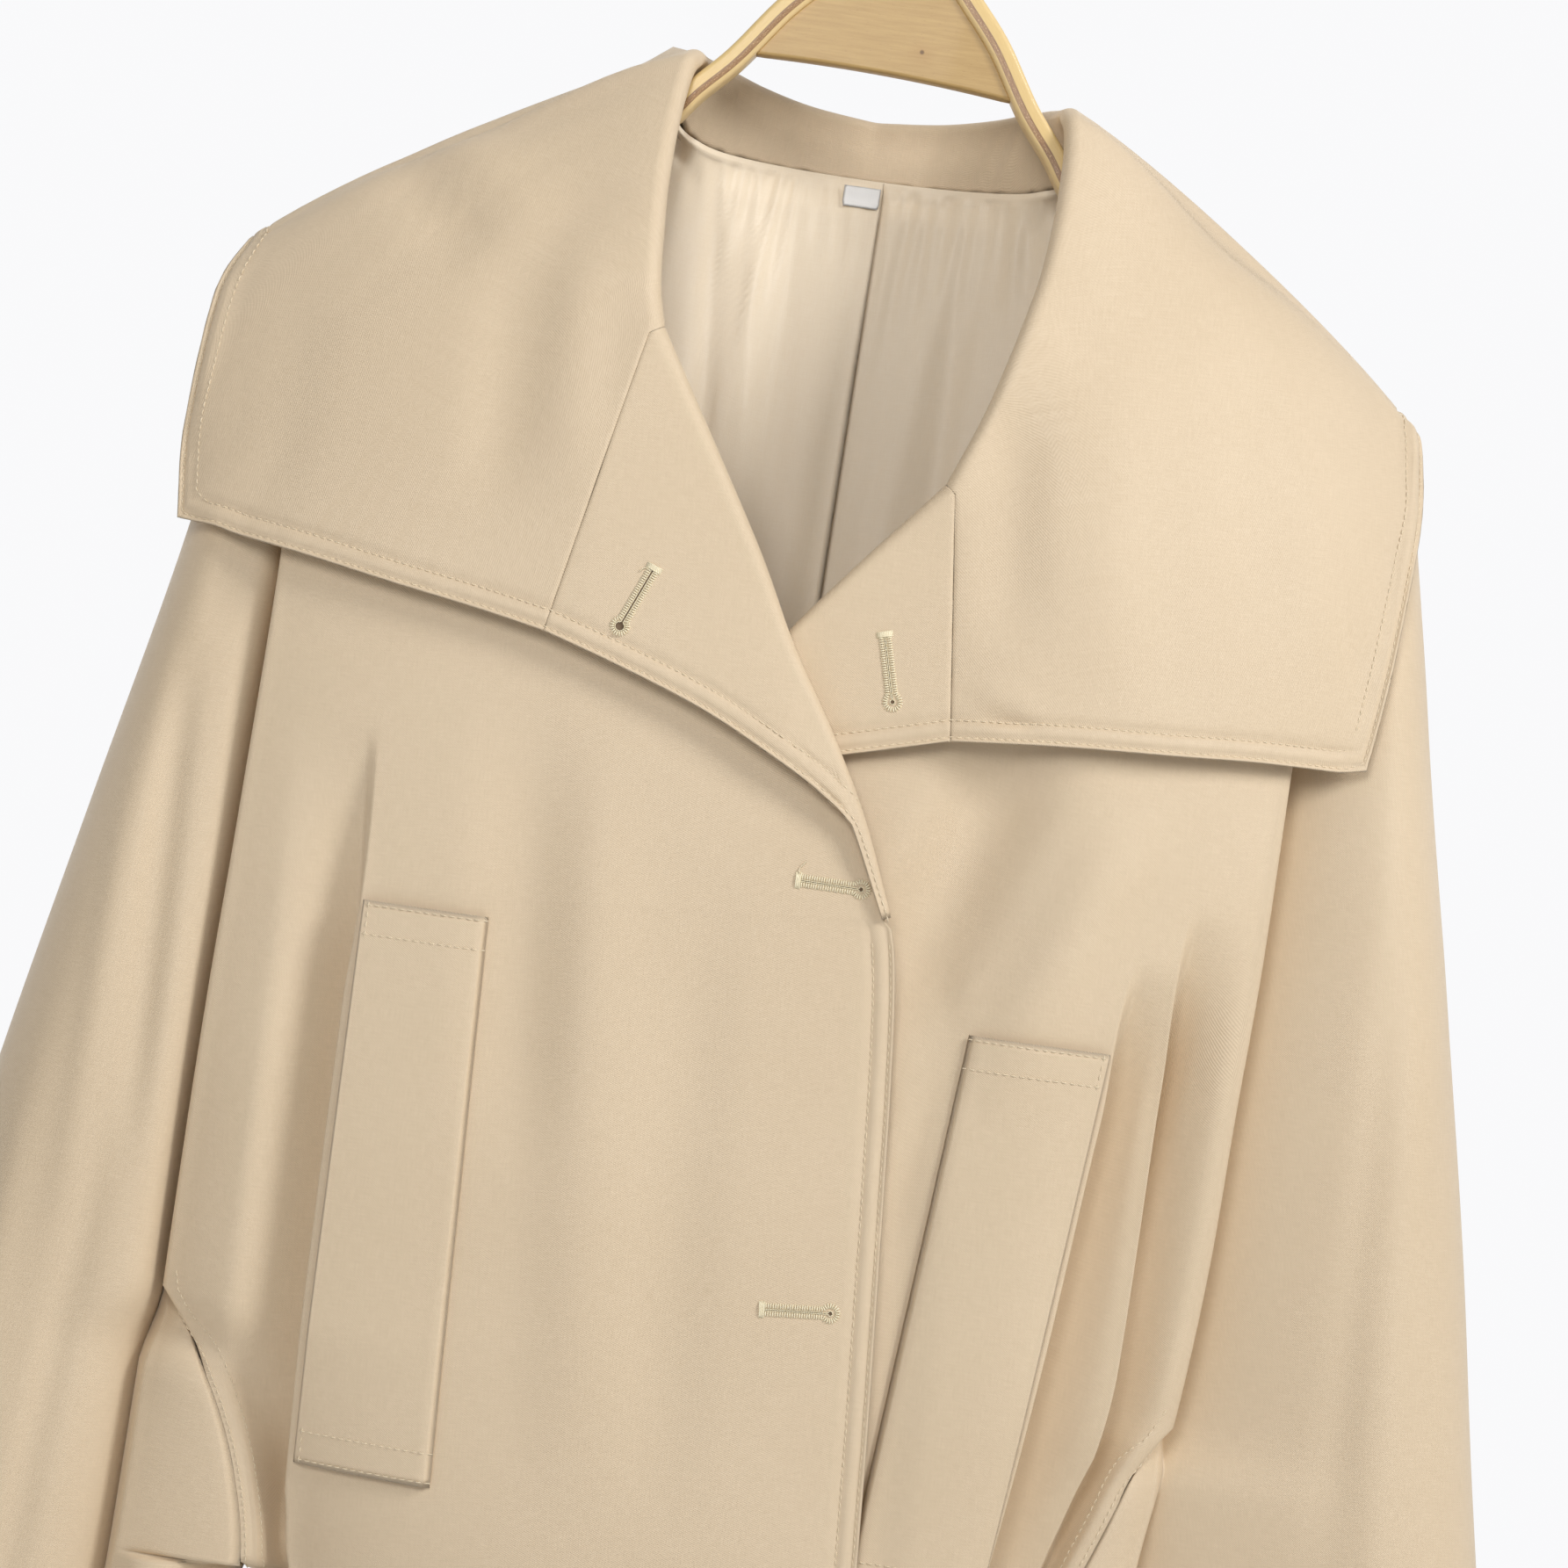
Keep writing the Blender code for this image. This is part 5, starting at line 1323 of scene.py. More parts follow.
def sleeve_line(z, sign, face, surface):
    """One line of a sleeve from the armhole or underarm seam round to the overarm seam."""
    side = "right" if sign < 0 else "left"
    lowered = (TIP["right"] - TIP["left"]) * higher_than(z, YOKE, 95.0) if sign > 0 else 0.0
    value = {name: float(read(SLEEVE, name, z + lowered)) for name in SLEEVE}
    share, edge = tucked(z), float(read(CREASE, side, z))
    start = sleeve_start(z, sign, surface)
    full = np.array([value["full"], value["full_y"]])
    begun = lower_than(z, -100.0, 60.0)
    open_web = float(np.clip((edge - start[0] - 6.0) / 12.0, 0.0, 1.0))
    open_web = 1.0 if side == "right" and z < -440.0 else open_web
    open_web *= 1.0 - lower_than(z, -560.0, 120.0)
    deepness = max(open_web, share)

    # The crease: the edge that hangs over it, and its valley beside or under that edge.
    valley_y = value["edge_y"] + (value["valley_y"] - value["edge_y"]) * deepness
    aside = -3.0
    if side == "right":
        aside += 4.5 * lower_than(z, -150.0, 60.0) + 2.7 * (1 - share)
        valley_y -= VALLEY_DEEPER * lower_than(z, -200.0, 60.0)
    valley = np.array([edge + 4.0 + (aside - 4.0) * deepness, valley_y])
    if share > 0.5:
        valley[1] = min(valley[1], start[1] - 2.5)
    brim = np.array([edge, value["edge_y"]])
    brim = brim + ((start + valley) / 2 - brim) * share
    brim = between(start, full, BRIM_SHARE, brim, begun)
    valley = between(start, full, VALLEY_SHARE, valley, begun)
    out = np.array([BRIM_OUT, 0.0]) * (1 - share) * deepness * begun

    # The web from the seam to the brim, the turn into the valley, the swell out of it and the round outside.
    shares = [np.linspace(0.0, 1.0, count + 1) for count in SLEEVE_COUNTS]
    web = start + (brim - start) * shares[0][:, None]
    by_underarm = higher_than(z, -640.0, 90.0) * lower_than(z, -500.0, 30.0)
    bulge = WEB_SWELL + 0.62 * max(0.0, WEB_FULL - start[1]) * by_underarm
    web[:, 1] += bulge * np.maximum(np.sin(math.pi * shares[0]), 0.0) ** 0.7 * (1 - share) * deepness
    under = valley + np.array([0.5, 4.0]) * begun * deepness + out * 0.6
    turn = bezier(brim, brim + out, under, valley, shares[1])
    reach = min(SWELL_REACH, (full[0] - valley[0]) / 3)
    steep = (STEEP[side] + STEEPER[side] * share) * begun
    leaving = valley + np.array([reach * (1 - 0.8 * steep), reach / 2 * deepness * (1 - steep)]) * begun
    leaving[1] += (full[1] - valley[1]) * steep
    level_again = reach * 1.5
    if side == "right":
        level_again = max(level_again, (full[0] - valley[0] - CLOSE) * share)
    swell = bezier(valley, leaving, full - np.array([level_again, 0.0]) * begun, full, shares[2])
    bend = shares[3] * math.pi / 2
    over = np.stack([full[0] + (value["outer"] - full[0]) * np.sin(bend), full[1] * np.cos(bend)], axis=1)
    over[-1, 1] = SEAM_HALF
    line = np.concatenate((web, turn[1:], swell[1:], over[1:]))
    return np.stack([line[:, 0] * sign, line[:, 1] * face, np.full(len(line), z)], axis=1)


def sleeve(side, part):
    sign, face = (-1 if side == "right" else 1), (-1 if part == "front" else 1)
    surface = back_y if face > 0 else (left_front_y if sign > 0 else front_y)
    outward = (0, face, 0)
    heights = np.concatenate((np.linspace(levels(side)[2], -120.0, 14)[:-1], np.linspace(-120.0, CUFF, 96)))
    heights = np.sort(np.concatenate((heights, BY_UNDERARM)))[::-1]
    grid = np.array([sleeve_line(z, sign, face, surface) for z in heights])
    if face < 0:
        push = soft_creases(SLEEVE_CREASES[side], grid[:, :, 0], grid[:, :, 2])
        grid = grid + normals_of(grid, outward) * push[:, :, None]
    shown = np.array([1.0 - tucked(z) for z in heights]) * smooth((heights + 545.0) / 6.0)
    grid = shaped(grid, outward, [
        (grid[:, 0], sewn_edge, 0.35 * shown),
        (grid[:, -1], sewn_edge, 0.5),
        (grid[-1], hem_edge, 1.0),
    ])
    from_seam = run(grid, 1)
    uv = np.stack([from_seam - from_seam[:, -1:], grid[:, :, 2]], axis=2)
    wall(f"sleeve_{side}_{part}", grid, outward, coat_twill, uv=uv)
    return grid


# ------------------------------------------------------------------ collar
STAND = 8                 # points of the stand below the roll
STAND_LEAN = 8.0          # the stand's lower edge lies this far outboard of the roll's start
COLLAR_OFF = 2.6          # room between the collar's inner side and the coat, by the roll
COLLAR_OFF_EDGE = 4.0     # and so much more at its edge
COLLAR_SPACING = 3.6
CORNERS = (4.0, 10.0)     # steps of the collar's corners
MIDDLE = 13.0             # step of the middle of the back
PUSH_STEP = 2.0           # how finely the room under the collar is looked for
PUSH_MOST = 64.0


def collar_neck(step, sign, start):
    """The collar's lower edge by the neck seam, across from the start of the roll."""
    leaning = STAND_LEAN * float(smooth(step / 1.4))
    beside_roll = start + np.array([sign * leaning, 0.12 * leaning, -0.3 * leaning])
    angle = max(0.0, (step - 6.5) / 6.5) * math.pi / 2
    across, behind = (NECK_HALF - 2.4) * math.cos(angle) * sign, (NECK_BACK - 1.9) * math.sin(angle)
    height = float(neck_height(NECK_HALF * math.cos(angle) * sign))
    uneven = 0.8 * float(ripple(angle * 60.0, 3 if sign < 0 else 4)) * (1.0 - higher_than(step, 12.3, 0.6))
    seam = np.array([across, behind, height + 1.0 + uneven])
    return beside_roll + (seam - beside_roll) * higher_than(step, 4.8, 1.7)


def sleeve_depth(x, z):
    """Distance of a sleeve's outer side from the plane of the shoulder line, about."""
    full, outer, depth = (read(SLEEVE, name, z) for name in ("full", "outer", "full_y"))
    past = np.clip((np.abs(x) - full) / (outer - full), 0.0, 1.0)
    return np.where(np.abs(x) > full - 12.0, depth * np.sqrt(1 - past**2), 0.0)


def coat_depth(x, z, face):
    """Distance of the coat's outer side from the plane of the shoulder line; 0 above the shoulder."""
    bare = (z > shoulder(x)) & ((face < 0) | (np.abs(x) > NECK_HALF))
    own = np.abs(front_y(x, z) if face < 0 else back_y(x, z))
    return np.where(bare, 0.0, np.maximum(own, sleeve_depth(x, z)))


def room_needed(points, plan, gaps):
    """How far points of the collar have to move off the coat, the way it leans there."""
    face = -1 if plan < 0 else 1
    way = np.array([0.0, math.sin(plan), math.cos(plan)])

    def clear(push):
        moved = points[:, None, :] + push[..., None] * way
        depth = coat_depth(moved[..., 0], moved[..., 2] - gaps[:, None], face)
        return (depth == 0.0) | (np.abs(moved[..., 1]) >= depth + gaps[:, None] * abs(math.sin(plan)))

    tries = np.arange(0.0, PUSH_MOST + 1.0, PUSH_STEP)
    first = np.argmax(clear(np.broadcast_to(tries, (len(points), len(tries)))), axis=1)
    high = tries[first]
    low = np.maximum(high - PUSH_STEP, 0.0)
    for _ in range(5):
        half = (low + high) / 2
        good = clear(half[:, None])[:, 0]
        high, low = np.where(good, half, high), np.where(good, low, half)
    return np.where(first == 0, 0.0, high), way


def split_read(source, column, step):
    """Reads an edge column between the collar's corners only, so that they stay sharp."""
    first = max([c for c in CORNERS if c <= step], default=0.0)
    last = min([c for c in CORNERS if c > first], default=MIDDLE)
    chosen = (source["step"] >= first) & (source["step"] <= last)
    return float(read({"step": source["step"][chosen], column: source[column][chosen]}, column, step))


def collar_line(source, step, sign):
    """One line of the collar: up the stand, over the roll and down to its edge."""
    value = {name: float(read(source, name, step)) for name in source}
    crest = np.array([value["crest_x"] * sign, value["crest_y"], value["crest_z"]])
    edge = np.array([split_read(source, f"edge_{axis}", step) for axis in "xyz"]) * (sign, 1, 1)
    ends = [np.array([float(read(source, f"crest_{axis}", step + d)) for axis in "xyz"]) * (sign, 1, 1)
            for d in (0.25, -0.25)]
    along = (ends[0] - ends[1]) / np.linalg.norm(ends[0] - ends[1])
    plan = math.radians(value["plan"])
    out = np.array([sign * math.cos(plan), math.sin(plan), 0.0])
    out -= along * np.dot(out, along)
    out /= np.linalg.norm(out)
    tip = np.cross(along, out)
    if np.dot(tip, (-sign * 1.0, 0.0, 1.0)) < 0:
        tip = -tip
    radius = value["radius"]
    centre = crest - tip * radius
    angles = np.linspace(0.0, math.radians(value["turn"]), ROLL + 1)
    roll = np.array([centre + radius * (tip * math.sin(a) - out * math.cos(a)) for a in angles])
    heading = tip * math.cos(angles[-1]) + out * math.sin(angles[-1])
    neck = collar_neck(step, sign, roll[0])
    stand = np.array([neck + (roll[0] - neck) * k / STAND for k in range(STAND)])
    chord = (edge - roll[-1]) / np.linalg.norm(edge - roll[-1])
    arriving = chord + np.array([0.0, 0.0, -0.35])
    arriving /= np.linalg.norm(arriving)
    reach = value["reach"]
    times = np.linspace(0.0, 1.0, 80)
    dense = bezier(roll[-1], roll[-1] + heading * reach, edge - arriving * reach, edge, times)
    places = lengths(dense)
    wanted = (places[-1] - edge_places(places[-1], FALL))[::-1]
    wanted = wanted[1:] if wanted[0] <= 1e-6 else wanted
    fall = at_lengths(dense, wanted)
    shares = np.interp(wanted, places, times)
    room = COLLAR_WALL + COLLAR_OFF + COLLAR_OFF_EDGE * shares
    push, way = room_needed(fall, plan, room)
    return np.concatenate((stand, roll, fall)), push, way


def blurred(field, times):
    """A field of numbers evened out with its neighbours; its outer numbers stay near their own."""
    for _ in range(times):
        padded_field = np.pad(field, 1, mode="edge")
        field = (padded_field[:-2, 1:-1] + padded_field[2:, 1:-1] + padded_field[1:-1, :-2]
                 + padded_field[1:-1, 2:] + 4 * padded_field[1:-1, 1:-1]) / 8
    return field


def collar_half(source, sign, lapel_table, offset):
    """Lines of half the collar, from the lapel to the middle of the back."""
    stops = (0.0, *CORNERS, MIDDLE)
    steps = np.concatenate([even_steps(source, a, b, COLLAR_SPACING)[(0 if a == 0.0 else 1):]
                            for a, b in zip(stops, stops[1:])])
    steps = with_seam_steps(steps)
    lines, pushes, ways = (np.array(v) for v in zip(*[collar_line(source, s, sign) for s in steps]))
    lines[:, -pushes.shape[1]:] += blurred(pushes, 6)[:, :, None] * ways[:, None, :]
    seam = lapel_line(lapel_table, 0.0, offset)[0]
    begin = np.array([seam[0] + (seam[1] - seam[0]) * k / (STAND + 1) for k in range(STAND + 1)])
    shift = np.concatenate((begin, seam[1:])) - lines[0]
    return lines + shift * (np.maximum(0.0, 1.0 - steps / 2.0) ** 2)[:, None, None]


def collar():
    right = collar_half(COLLAR_RIGHT, -1, LAPEL_RIGHT, no_offset)
    left = collar_half(COLLAR_LEFT, 1, LAPEL_LEFT, underlap)
    grid = np.concatenate((right, left[-2::-1]))
    middle = len(right) - 1
    for _ in range(6):
        near = slice(middle - 4, middle + 5)
        grid[near] = (grid[middle - 5 : middle + 4] + 2 * grid[near] + grid[middle - 3 : middle + 6]) / 4
    normals = normals_of(grid, FACES_BACK)
    push = soft_creases(COLLAR_CREASES, grid[:, :, 0], grid[:, :, 2]) * smooth(-normals[:, :, 1] * 2.0)
    grid = grid + normals * push[:, :, None]
    grid = shaped(grid, FACES_BACK, [
        (grid[:, -1], stitched_edge, 1.0),
        (grid[0, STAND + ROLL:], seam_line, 1.0),
        (grid[-1, STAND + ROLL:], seam_line, 1.0),
    ])
    wall("collar", grid, FACES_BACK, coat_twill, COLLAR_WALL, developed(grid))
    return grid


def developed(grid):
    """Lays a strip of lines flat, one after another, and gives every point its place on the flat cloth."""
    rows = len(grid)
    first, last = grid[:, 0], grid[:, -1]
    along = run(grid, 1)
    total = along[:, -1]
    low, high = np.zeros((rows, 2)), np.zeros((rows, 2))
    high[0] = (0.0, -total[0])
    for k in range(1, rows):
        straight = max(np.linalg.norm(first[k - 1] - last[k - 1]), 1.0)
        low[k] = beyond(low[k - 1], high[k - 1], np.linalg.norm(first[k] - first[k - 1]),
                        np.linalg.norm(first[k] - last[k - 1]) * total[k - 1] / straight)
        high[k] = beyond(low[k], high[k - 1], total[k], np.linalg.norm(last[k] - last[k - 1]), low[k - 1])
    way = high[rows // 2] - low[rows // 2]
    turn = -math.atan2(way[0], -way[1])
    spin = np.array([[math.cos(turn), -math.sin(turn)], [math.sin(turn), math.cos(turn)]])
    share = (along / total[:, None])[:, :, None]
    return (low[:, None, :] * (1 - share) + high[:, None, :] * share) @ spin.T


def beyond(a, b, from_a, from_b, not_by=None):
    """The point at given distances from two others, on the side away from a third, or to the right of a to b."""
    gap = max(float(np.linalg.norm(b - a)), 1e-6)
    along = (from_a**2 - from_b**2 + gap**2) / (2 * gap)
    aside = math.sqrt(max(from_a**2 - along**2, 0.0))
    unit = (b - a) / gap
    square = np.array([-unit[1], unit[0]])
    found = [a + unit * along + square * aside * s for s in (1.0, -1.0)]
    if not_by is None or from_a <= 0:
        return found[0]
    return max(found, key=lambda p: float(np.linalg.norm(p - not_by)))


# ------------------------------------------------------------------ welts, lining and label
WELT_OUT = 2.7            # outer side of a welt above the coat
WELTS = {"right": (WELT_RIGHT, -1, front_y), "left": (WELT_LEFT, 1, left_front_y)}
LINING_WALL = 1.0
LINING_IN = 7.0           # the lining hangs this far inside the back
LINING_NECK = (68.0, 46.8)    # its half axes at the neck seam
LINING_END = -330.0
PLEAT_DEEP = 3.0          # the left half lies so much further back by the pleat
PLEAT_OVER = 0.8          # the right half's folded edge reaches this far over the left one
PLEAT_UNDER = 4.0
GATHERS = 21              # little folds along the neck seam
GATHERED = 66.0           # as far as this from the middle
LABEL_X = (-8.5, 4.9)
LABEL_Z = (-25.6, -33.1)
LABEL_WALL = 0.6


def welt(side):
    source, sign, surface = WELTS[side]
    rows = []
    for z in np.linspace(source["z"][0], source["z"][-1], 66):
        free, sewn = float(read(source, "free_x", z)), float(read(source, "sewn_x", z))
        from_free = edge_places(free - sewn, 24)
        x = (free - from_free) * sign
        sunk = smooth(1.0 - (free - sewn - from_free) / 2.5)
        rows.append(np.stack([x, surface(x, z) - WELT_OUT + sunk, np.full(len(x), z)], axis=1))
    grid = np.array(rows)
    grid = shaped(grid, FACES_FRONT, [(grid[:, -1], sewn_edge, 0.6)])
    wall(f"welt_{side}", grid, FACES_FRONT, coat_twill, WALL, grid[:, :, ::2])
    return grid


def lining_y(x, z):
    """The lining starts by the stand of the collar and then hangs free of the back."""
    across = np.minimum(np.abs(x) / LINING_NECK[0], 0.92)
    by_neck = neck_plan(x) - LINING_NECK[1] * np.sqrt(1.0 - across**2)
    below = smooth((neck_height(x) - z) / 12.0)
    return back_y(x, z) - np.maximum(by_neck, 3.2) * (1 - below) - LINING_IN * below


def gathers(x, z):
    """Little folds where the lining is eased into the neck seam."""
    down = neck_height(x) - z
    rng = np.random.default_rng(5)
    total = 0.0
    for place in np.linspace(-GATHERED, GATHERED, GATHERS):
        centre = place + rng.uniform(-2.5, 2.5)
        width, size, reach = rng.uniform(2.2, 4.6), rng.uniform(0.9, 2.3), rng.uniform(14.0, 60.0)
        lean = rng.uniform(-0.12, 0.12)
        fold = bump((x - centre - lean * down) / width)
        total = total + size * fold * smooth((down + 1.0) / 3.0) * np.exp(-down / reach)
    return total


def lining(side):
    """Half of the back lining, from the neck seam down as far as it can be seen."""
    sign = -1 if side == "right" else 1
    rows = []
    for share in np.linspace(0.0, 1.0, 90) ** 1.6:
        middle = 5.0 - 4.0 * share
        edge = 71.5 + 68.5 * smooth((share - 0.02) * 4.0)
        begin = middle + (PLEAT_OVER if side == "right" else -PLEAT_UNDER)
        x = begin + (edge * sign - begin) * np.linspace(0.0, 1.0, 60)
        top = neck_height(x) + 2.5
        z = top + (LINING_END - top) * share
        by_pleat = np.abs(x - middle)
        pleat = PLEAT_DEEP * (1.0 - smooth(by_pleat / 60.0)) if side == "left" else -0.9 * bump(by_pleat / 5.0)
        y = lining_y(x, z) - gathers(x, z) - soft_creases(LINING_CREASES, x, z) + pleat * smooth((top - z) / 8.0)
        rows.append(np.stack([x, y, z], axis=1))
    wall(f"lining_back_{side}", np.array(rows), FACES_FRONT, lining_satin, LINING_WALL)


def size_label():
    across = np.linspace(*LABEL_X, 14)
    middle = sum(LABEL_X) / 2
    rows = []
    for z in np.linspace(*LABEL_Z, 10):
        x = middle + (across - middle) * (0.93 + 0.07 * higher_than(z, LABEL_Z[1], 2.0))
        y = np.minimum(lining_y(x, z), float(lining_y(0.0, -30.0))) - LABEL_WALL - GAP - 1.2
        rows.append(np.stack([x, y - 0.3 * bump((x + 2) / 5.0), np.full(len(x), z)], axis=1))
    wall("size_label", np.array(rows), FACES_FRONT, label_tape, LABEL_WALL)


# ------------------------------------------------------------------ belt
BELT_OUT = GAP + BELT_WALL + 0.9    # outer side of the belt above the coat
BELT_SIDE = (-1, 0, 0)    # which way the belt faces where its line begins
BELT_WORKED = 0.8         # strength of its stitched edges
BELT_MIDDLE = (BELT_TOP + BELT_BOTTOM) / 2
KNOT_X = 12.0
KNOT_SIZE = (38.0, 15.0, 56.0)


def belt_section(z, angle, out):
    """A point round the waist, out from the coat."""
    side = "right" if math.cos(angle) < 0 else "left"
    face = "front" if math.sin(angle) < 0 else "back"
    half = float(read(BODY, side, z)) + out
    depth = float(read(BODY, face, z)) + out
    across = math.copysign(abs(math.cos(angle)) ** (2 / FLATNESS), math.cos(angle))
    return (half * across, depth * math.sin(angle), z)


def round_map(grid, row, axis):
    """The flat cloth of a ring: the way round it along one of its rows, and the place along an axis."""
    around = lengths(closed(grid[row]))[:-1]
    return np.stack([np.broadcast_to(around, grid.shape[:2]), grid[:, :, axis]], axis=2)


def belt():
    angles = np.linspace(0.0, 2 * math.pi, 240, endpoint=False)
    heights = BELT_TOP - edge_places(BELT_WIDTH / 2, 14)
    heights = np.concatenate((heights, (2 * BELT_MIDDLE - heights)[-2::-1]))
    grid = np.array([[belt_section(z, a, BELT_OUT) for a in angles] for z in heights])
    edges = [(closed(grid[k]), stitched_edge, BELT_WORKED) for k in (0, -1)]
    grid = shaped(grid, BELT_SIDE, edges, ring=True)
    wall("belt", grid, BELT_SIDE, coat_twill, BELT_WALL, round_map(grid, 12, 2), ring=True)
    return grid


def belt_knot():
    """The belt's end wrapped once round the front of the belt: a flat band as a soft upright loop."""
    wide, deep, tall = KNOT_SIZE
    y_middle = -float(read(BODY, "front", BELT_TOP)) - BELT_OUT - 0.8 - deep / 2
    angles = np.linspace(0.0, 2 * math.pi, 72, endpoint=False)
    across, up = np.cos(angles), np.sin(angles)
    rows = []
    for x in np.linspace(-wide / 2, wide / 2, 26):
        pinch = 1.0 - 0.16 * (2 * x / wide) ** 2
        wrinkle = 0.5 * math.sin(x * 0.9) + 0.4 * math.sin(x * 0.47 + 1.0)
        y = y_middle + np.sign(across) * np.abs(across) ** 0.75 * (deep / 2 - 0.6) * pinch + 0.25 * wrinkle
        z = np.sign(up) * np.abs(up) ** 0.7 * (tall / 2 - 1.2) * (0.9 + 0.1 * pinch)
        rows.append(np.stack([np.full(len(angles), KNOT_X + x), y, BELT_MIDDLE + z + 0.4 * wrinkle], axis=1))
    grid = np.array(rows)
    outward = grid[13, 36] - np.array([KNOT_X, y_middle, BELT_MIDDLE])
    wall("belt_knot", grid, outward, coat_twill, BELT_WALL, round_map(grid, 13, 0), ring=True)


def belt_tail(name, top_x, lean, length, out):
    """One hanging end of the belt, flat on the skirt."""
    rows = []
    for share in np.linspace(0.0, 1.0, 70):
        z = BELT_BOTTOM - 6.0 - length * share
        middle = top_x + lean * share
        half = BELT_WIDTH / 2 * (0.55 + 0.45 * smooth(share * 5.0))
        places = edge_places(half, 12)
        across = np.concatenate((-half + places, (half - places)[-2::-1]))
        cup = 1.6 * (1.0 - (across / half) ** 2) * (1.0 - smooth(share * 6.0))
        wave = 0.8 * math.sin(share * 7.0 + out) * smooth(share * 3.0)
        y = min(front_y(middle + across, z)) - GAP - BELT_WALL - out - wave - cup
        rows.append(np.stack([middle + across, y, z - across * lean / length], axis=1))
    grid = np.array(rows)
    edges = [(line, stitched_edge, BELT_WORKED) for line in (grid[:, 0], grid[:, -1], grid[-1])]
    grid = shaped(grid, FACES_FRONT, edges)
    wall(name, grid, FACES_FRONT, coat_twill, BELT_WALL - 0.3)
    return grid


# ------------------------------------------------------------------ hanger
OUTLINE_POINTS = 260
RIM_WIDE = 8.0            # the bent rim, from its outer to its inner edge
RIM_ROUND = 1.6           # radius of the rim's edges
RIM_END = 7.0             # length over which the arms' ends are rounded off
PLATE_THICK = 8.0
PLATE_ROUND = 1.2
PLATE_IN = 0.8            # how far the plate is let into the rim
PLATE_ARCH = 1.5
HOOK_BEND = ((0.0, 0.0), (0.0, 3.0), (0.1, 6.0), (1.2, 10.5), (3.0, 13.6), (5.0, 16.0))    # from the hook's foot
HOOK_CIRCLE = range(-50, 191, 5)
HOOK_SIDES = 20


def hanger_outline():
    """The hanger's upper edge from the end of the right arm over the plate to the end of the left arm."""
    fine = np.concatenate((np.linspace(0.0, 41.0, 60)[:-1], np.linspace(41.0, 187.0, 200)))
    half = np.stack([fine, read(HANGER, "top", fine)], axis=1)
    line = np.concatenate((half[::-1] * (-1, 1), half[1:]))
    even = at_lengths(line, np.linspace(0.0, lengths(line)[-1], OUTLINE_POINTS))
    for _ in range(3):
        even[1:-1] = (even[:-2] + 2 * even[1:-1] + even[2:]) / 4
    return even


def unit_gradient(line):
    """Which way a line runs at each of its points."""
    along = np.gradient(line, axis=0)
    return along / np.linalg.norm(along, axis=1, keepdims=True)


def to_underside(outline):
    """Towards the hanger's underside, at each point of its outline."""
    return unit_gradient(outline)[:, ::-1] * (1, -1)


def tube(name, rings, look, uvs=None):
    """A closed piece through rings of points in millimetres."""
    rings = np.array(rings)
    last, count = (len(rings) - 1) * rings.shape[1], rings.shape[1]
    faces = grid_faces(*rings.shape[:2], ring=True)[1][:, ::-1].tolist()
    faces += [list(range(count)), list(range(last, last + count))[::-1]]
    made = mesh_object(name, to_metres(rings.reshape(-1, 3)), faces, look, uvs)
    work = bmesh.new()
    work.from_mesh(made.data)
    bmesh.ops.recalc_face_normals(work, faces=work.faces)
    work.to_mesh(made.data)
    work.free()


def hanger_rim():
    """The bent laminated strip that makes the arms and the plate's sloped sides."""
    outline = hanger_outline()
    half, middle = HANGER_THICK / 2, RIM_WIDE / 2
    section = []
    for corner_v, corner_y, first in ((1, -1, -90), (1, 1, 0), (-1, 1, 90), (-1, -1, 180)):
        centre = middle + corner_v * (middle - RIM_ROUND), corner_y * (half - RIM_ROUND)
        for angle in np.radians(first + np.array([0, 30, 60, 90])):
            section.append((centre[0] + RIM_ROUND * math.cos(angle), centre[1] + RIM_ROUND * math.sin(angle)))
    places = lengths(outline)
    ends = smooth(np.minimum(places, places[-1] - places) / RIM_END)
    rings, uvs = [], []
    for place, way, distance, end in zip(outline, to_underside(outline), places, ends):
        scale = 0.45 + 0.55 * math.sqrt(end)
        turned = [tilted(*(place + way * (middle + (v - middle) * scale))) for v, _ in section]
        rings.append([(x, y * scale, z) for (x, z), (_, y) in zip(turned, section)])
        uvs += [(distance * MM, v * MM) for v, _ in section]
    tube("hanger_rim", rings, plywood_layers, uvs)


def hanger_plate():
    """The panel let in between the plate's sloped sides, with softened edges."""
    outline = hanger_outline()
    outline = outline + to_underside(outline) * (RIM_WIDE - PLATE_IN)
    inside = outline[(np.abs(outline[:, 0]) < PLATE_HALF + 12) & (outline[:, 1] > PLATE_BOTTOM)]
    arch = np.linspace(inside[-1, 0], inside[0, 0], 24)[1:-1]
    lower = np.stack([arch, PLATE_BOTTOM + PLATE_ARCH * (1 - (arch / PLATE_HALF) ** 2)], axis=1)
    whole = np.concatenate((inside, lower))
    curve = bpy.data.curves.new("plate_outline", "CURVE")
    curve.dimensions, curve.fill_mode = "2D", "BOTH"
    curve.extrude = (PLATE_THICK / 2 - PLATE_ROUND) * MM
    curve.bevel_depth, curve.bevel_resolution, curve.offset = PLATE_ROUND * MM, 3, -PLATE_ROUND * MM
    line = curve.splines.new("POLY")
    line.points.add(len(whole) - 1)
    for point, (x, z) in zip(line.points, whole):
        right, _, up = to_metres(upright(x, z))
        point.co = (right, up, 0.0, 1.0)
    line.use_cyclic_u = True
    holder = in_scene("plate_outline", curve)
    mesh = bpy.data.meshes.new_from_object(holder)
    mesh.transform(Matrix.Rotation(math.pi / 2, 4, "X"))
    bpy.data.objects.remove(holder)
    mesh.materials.clear()
    mesh.materials.append(plywood_face)
    made = in_scene("hanger_plate", mesh)
    pieces["hanger_plate"] = made


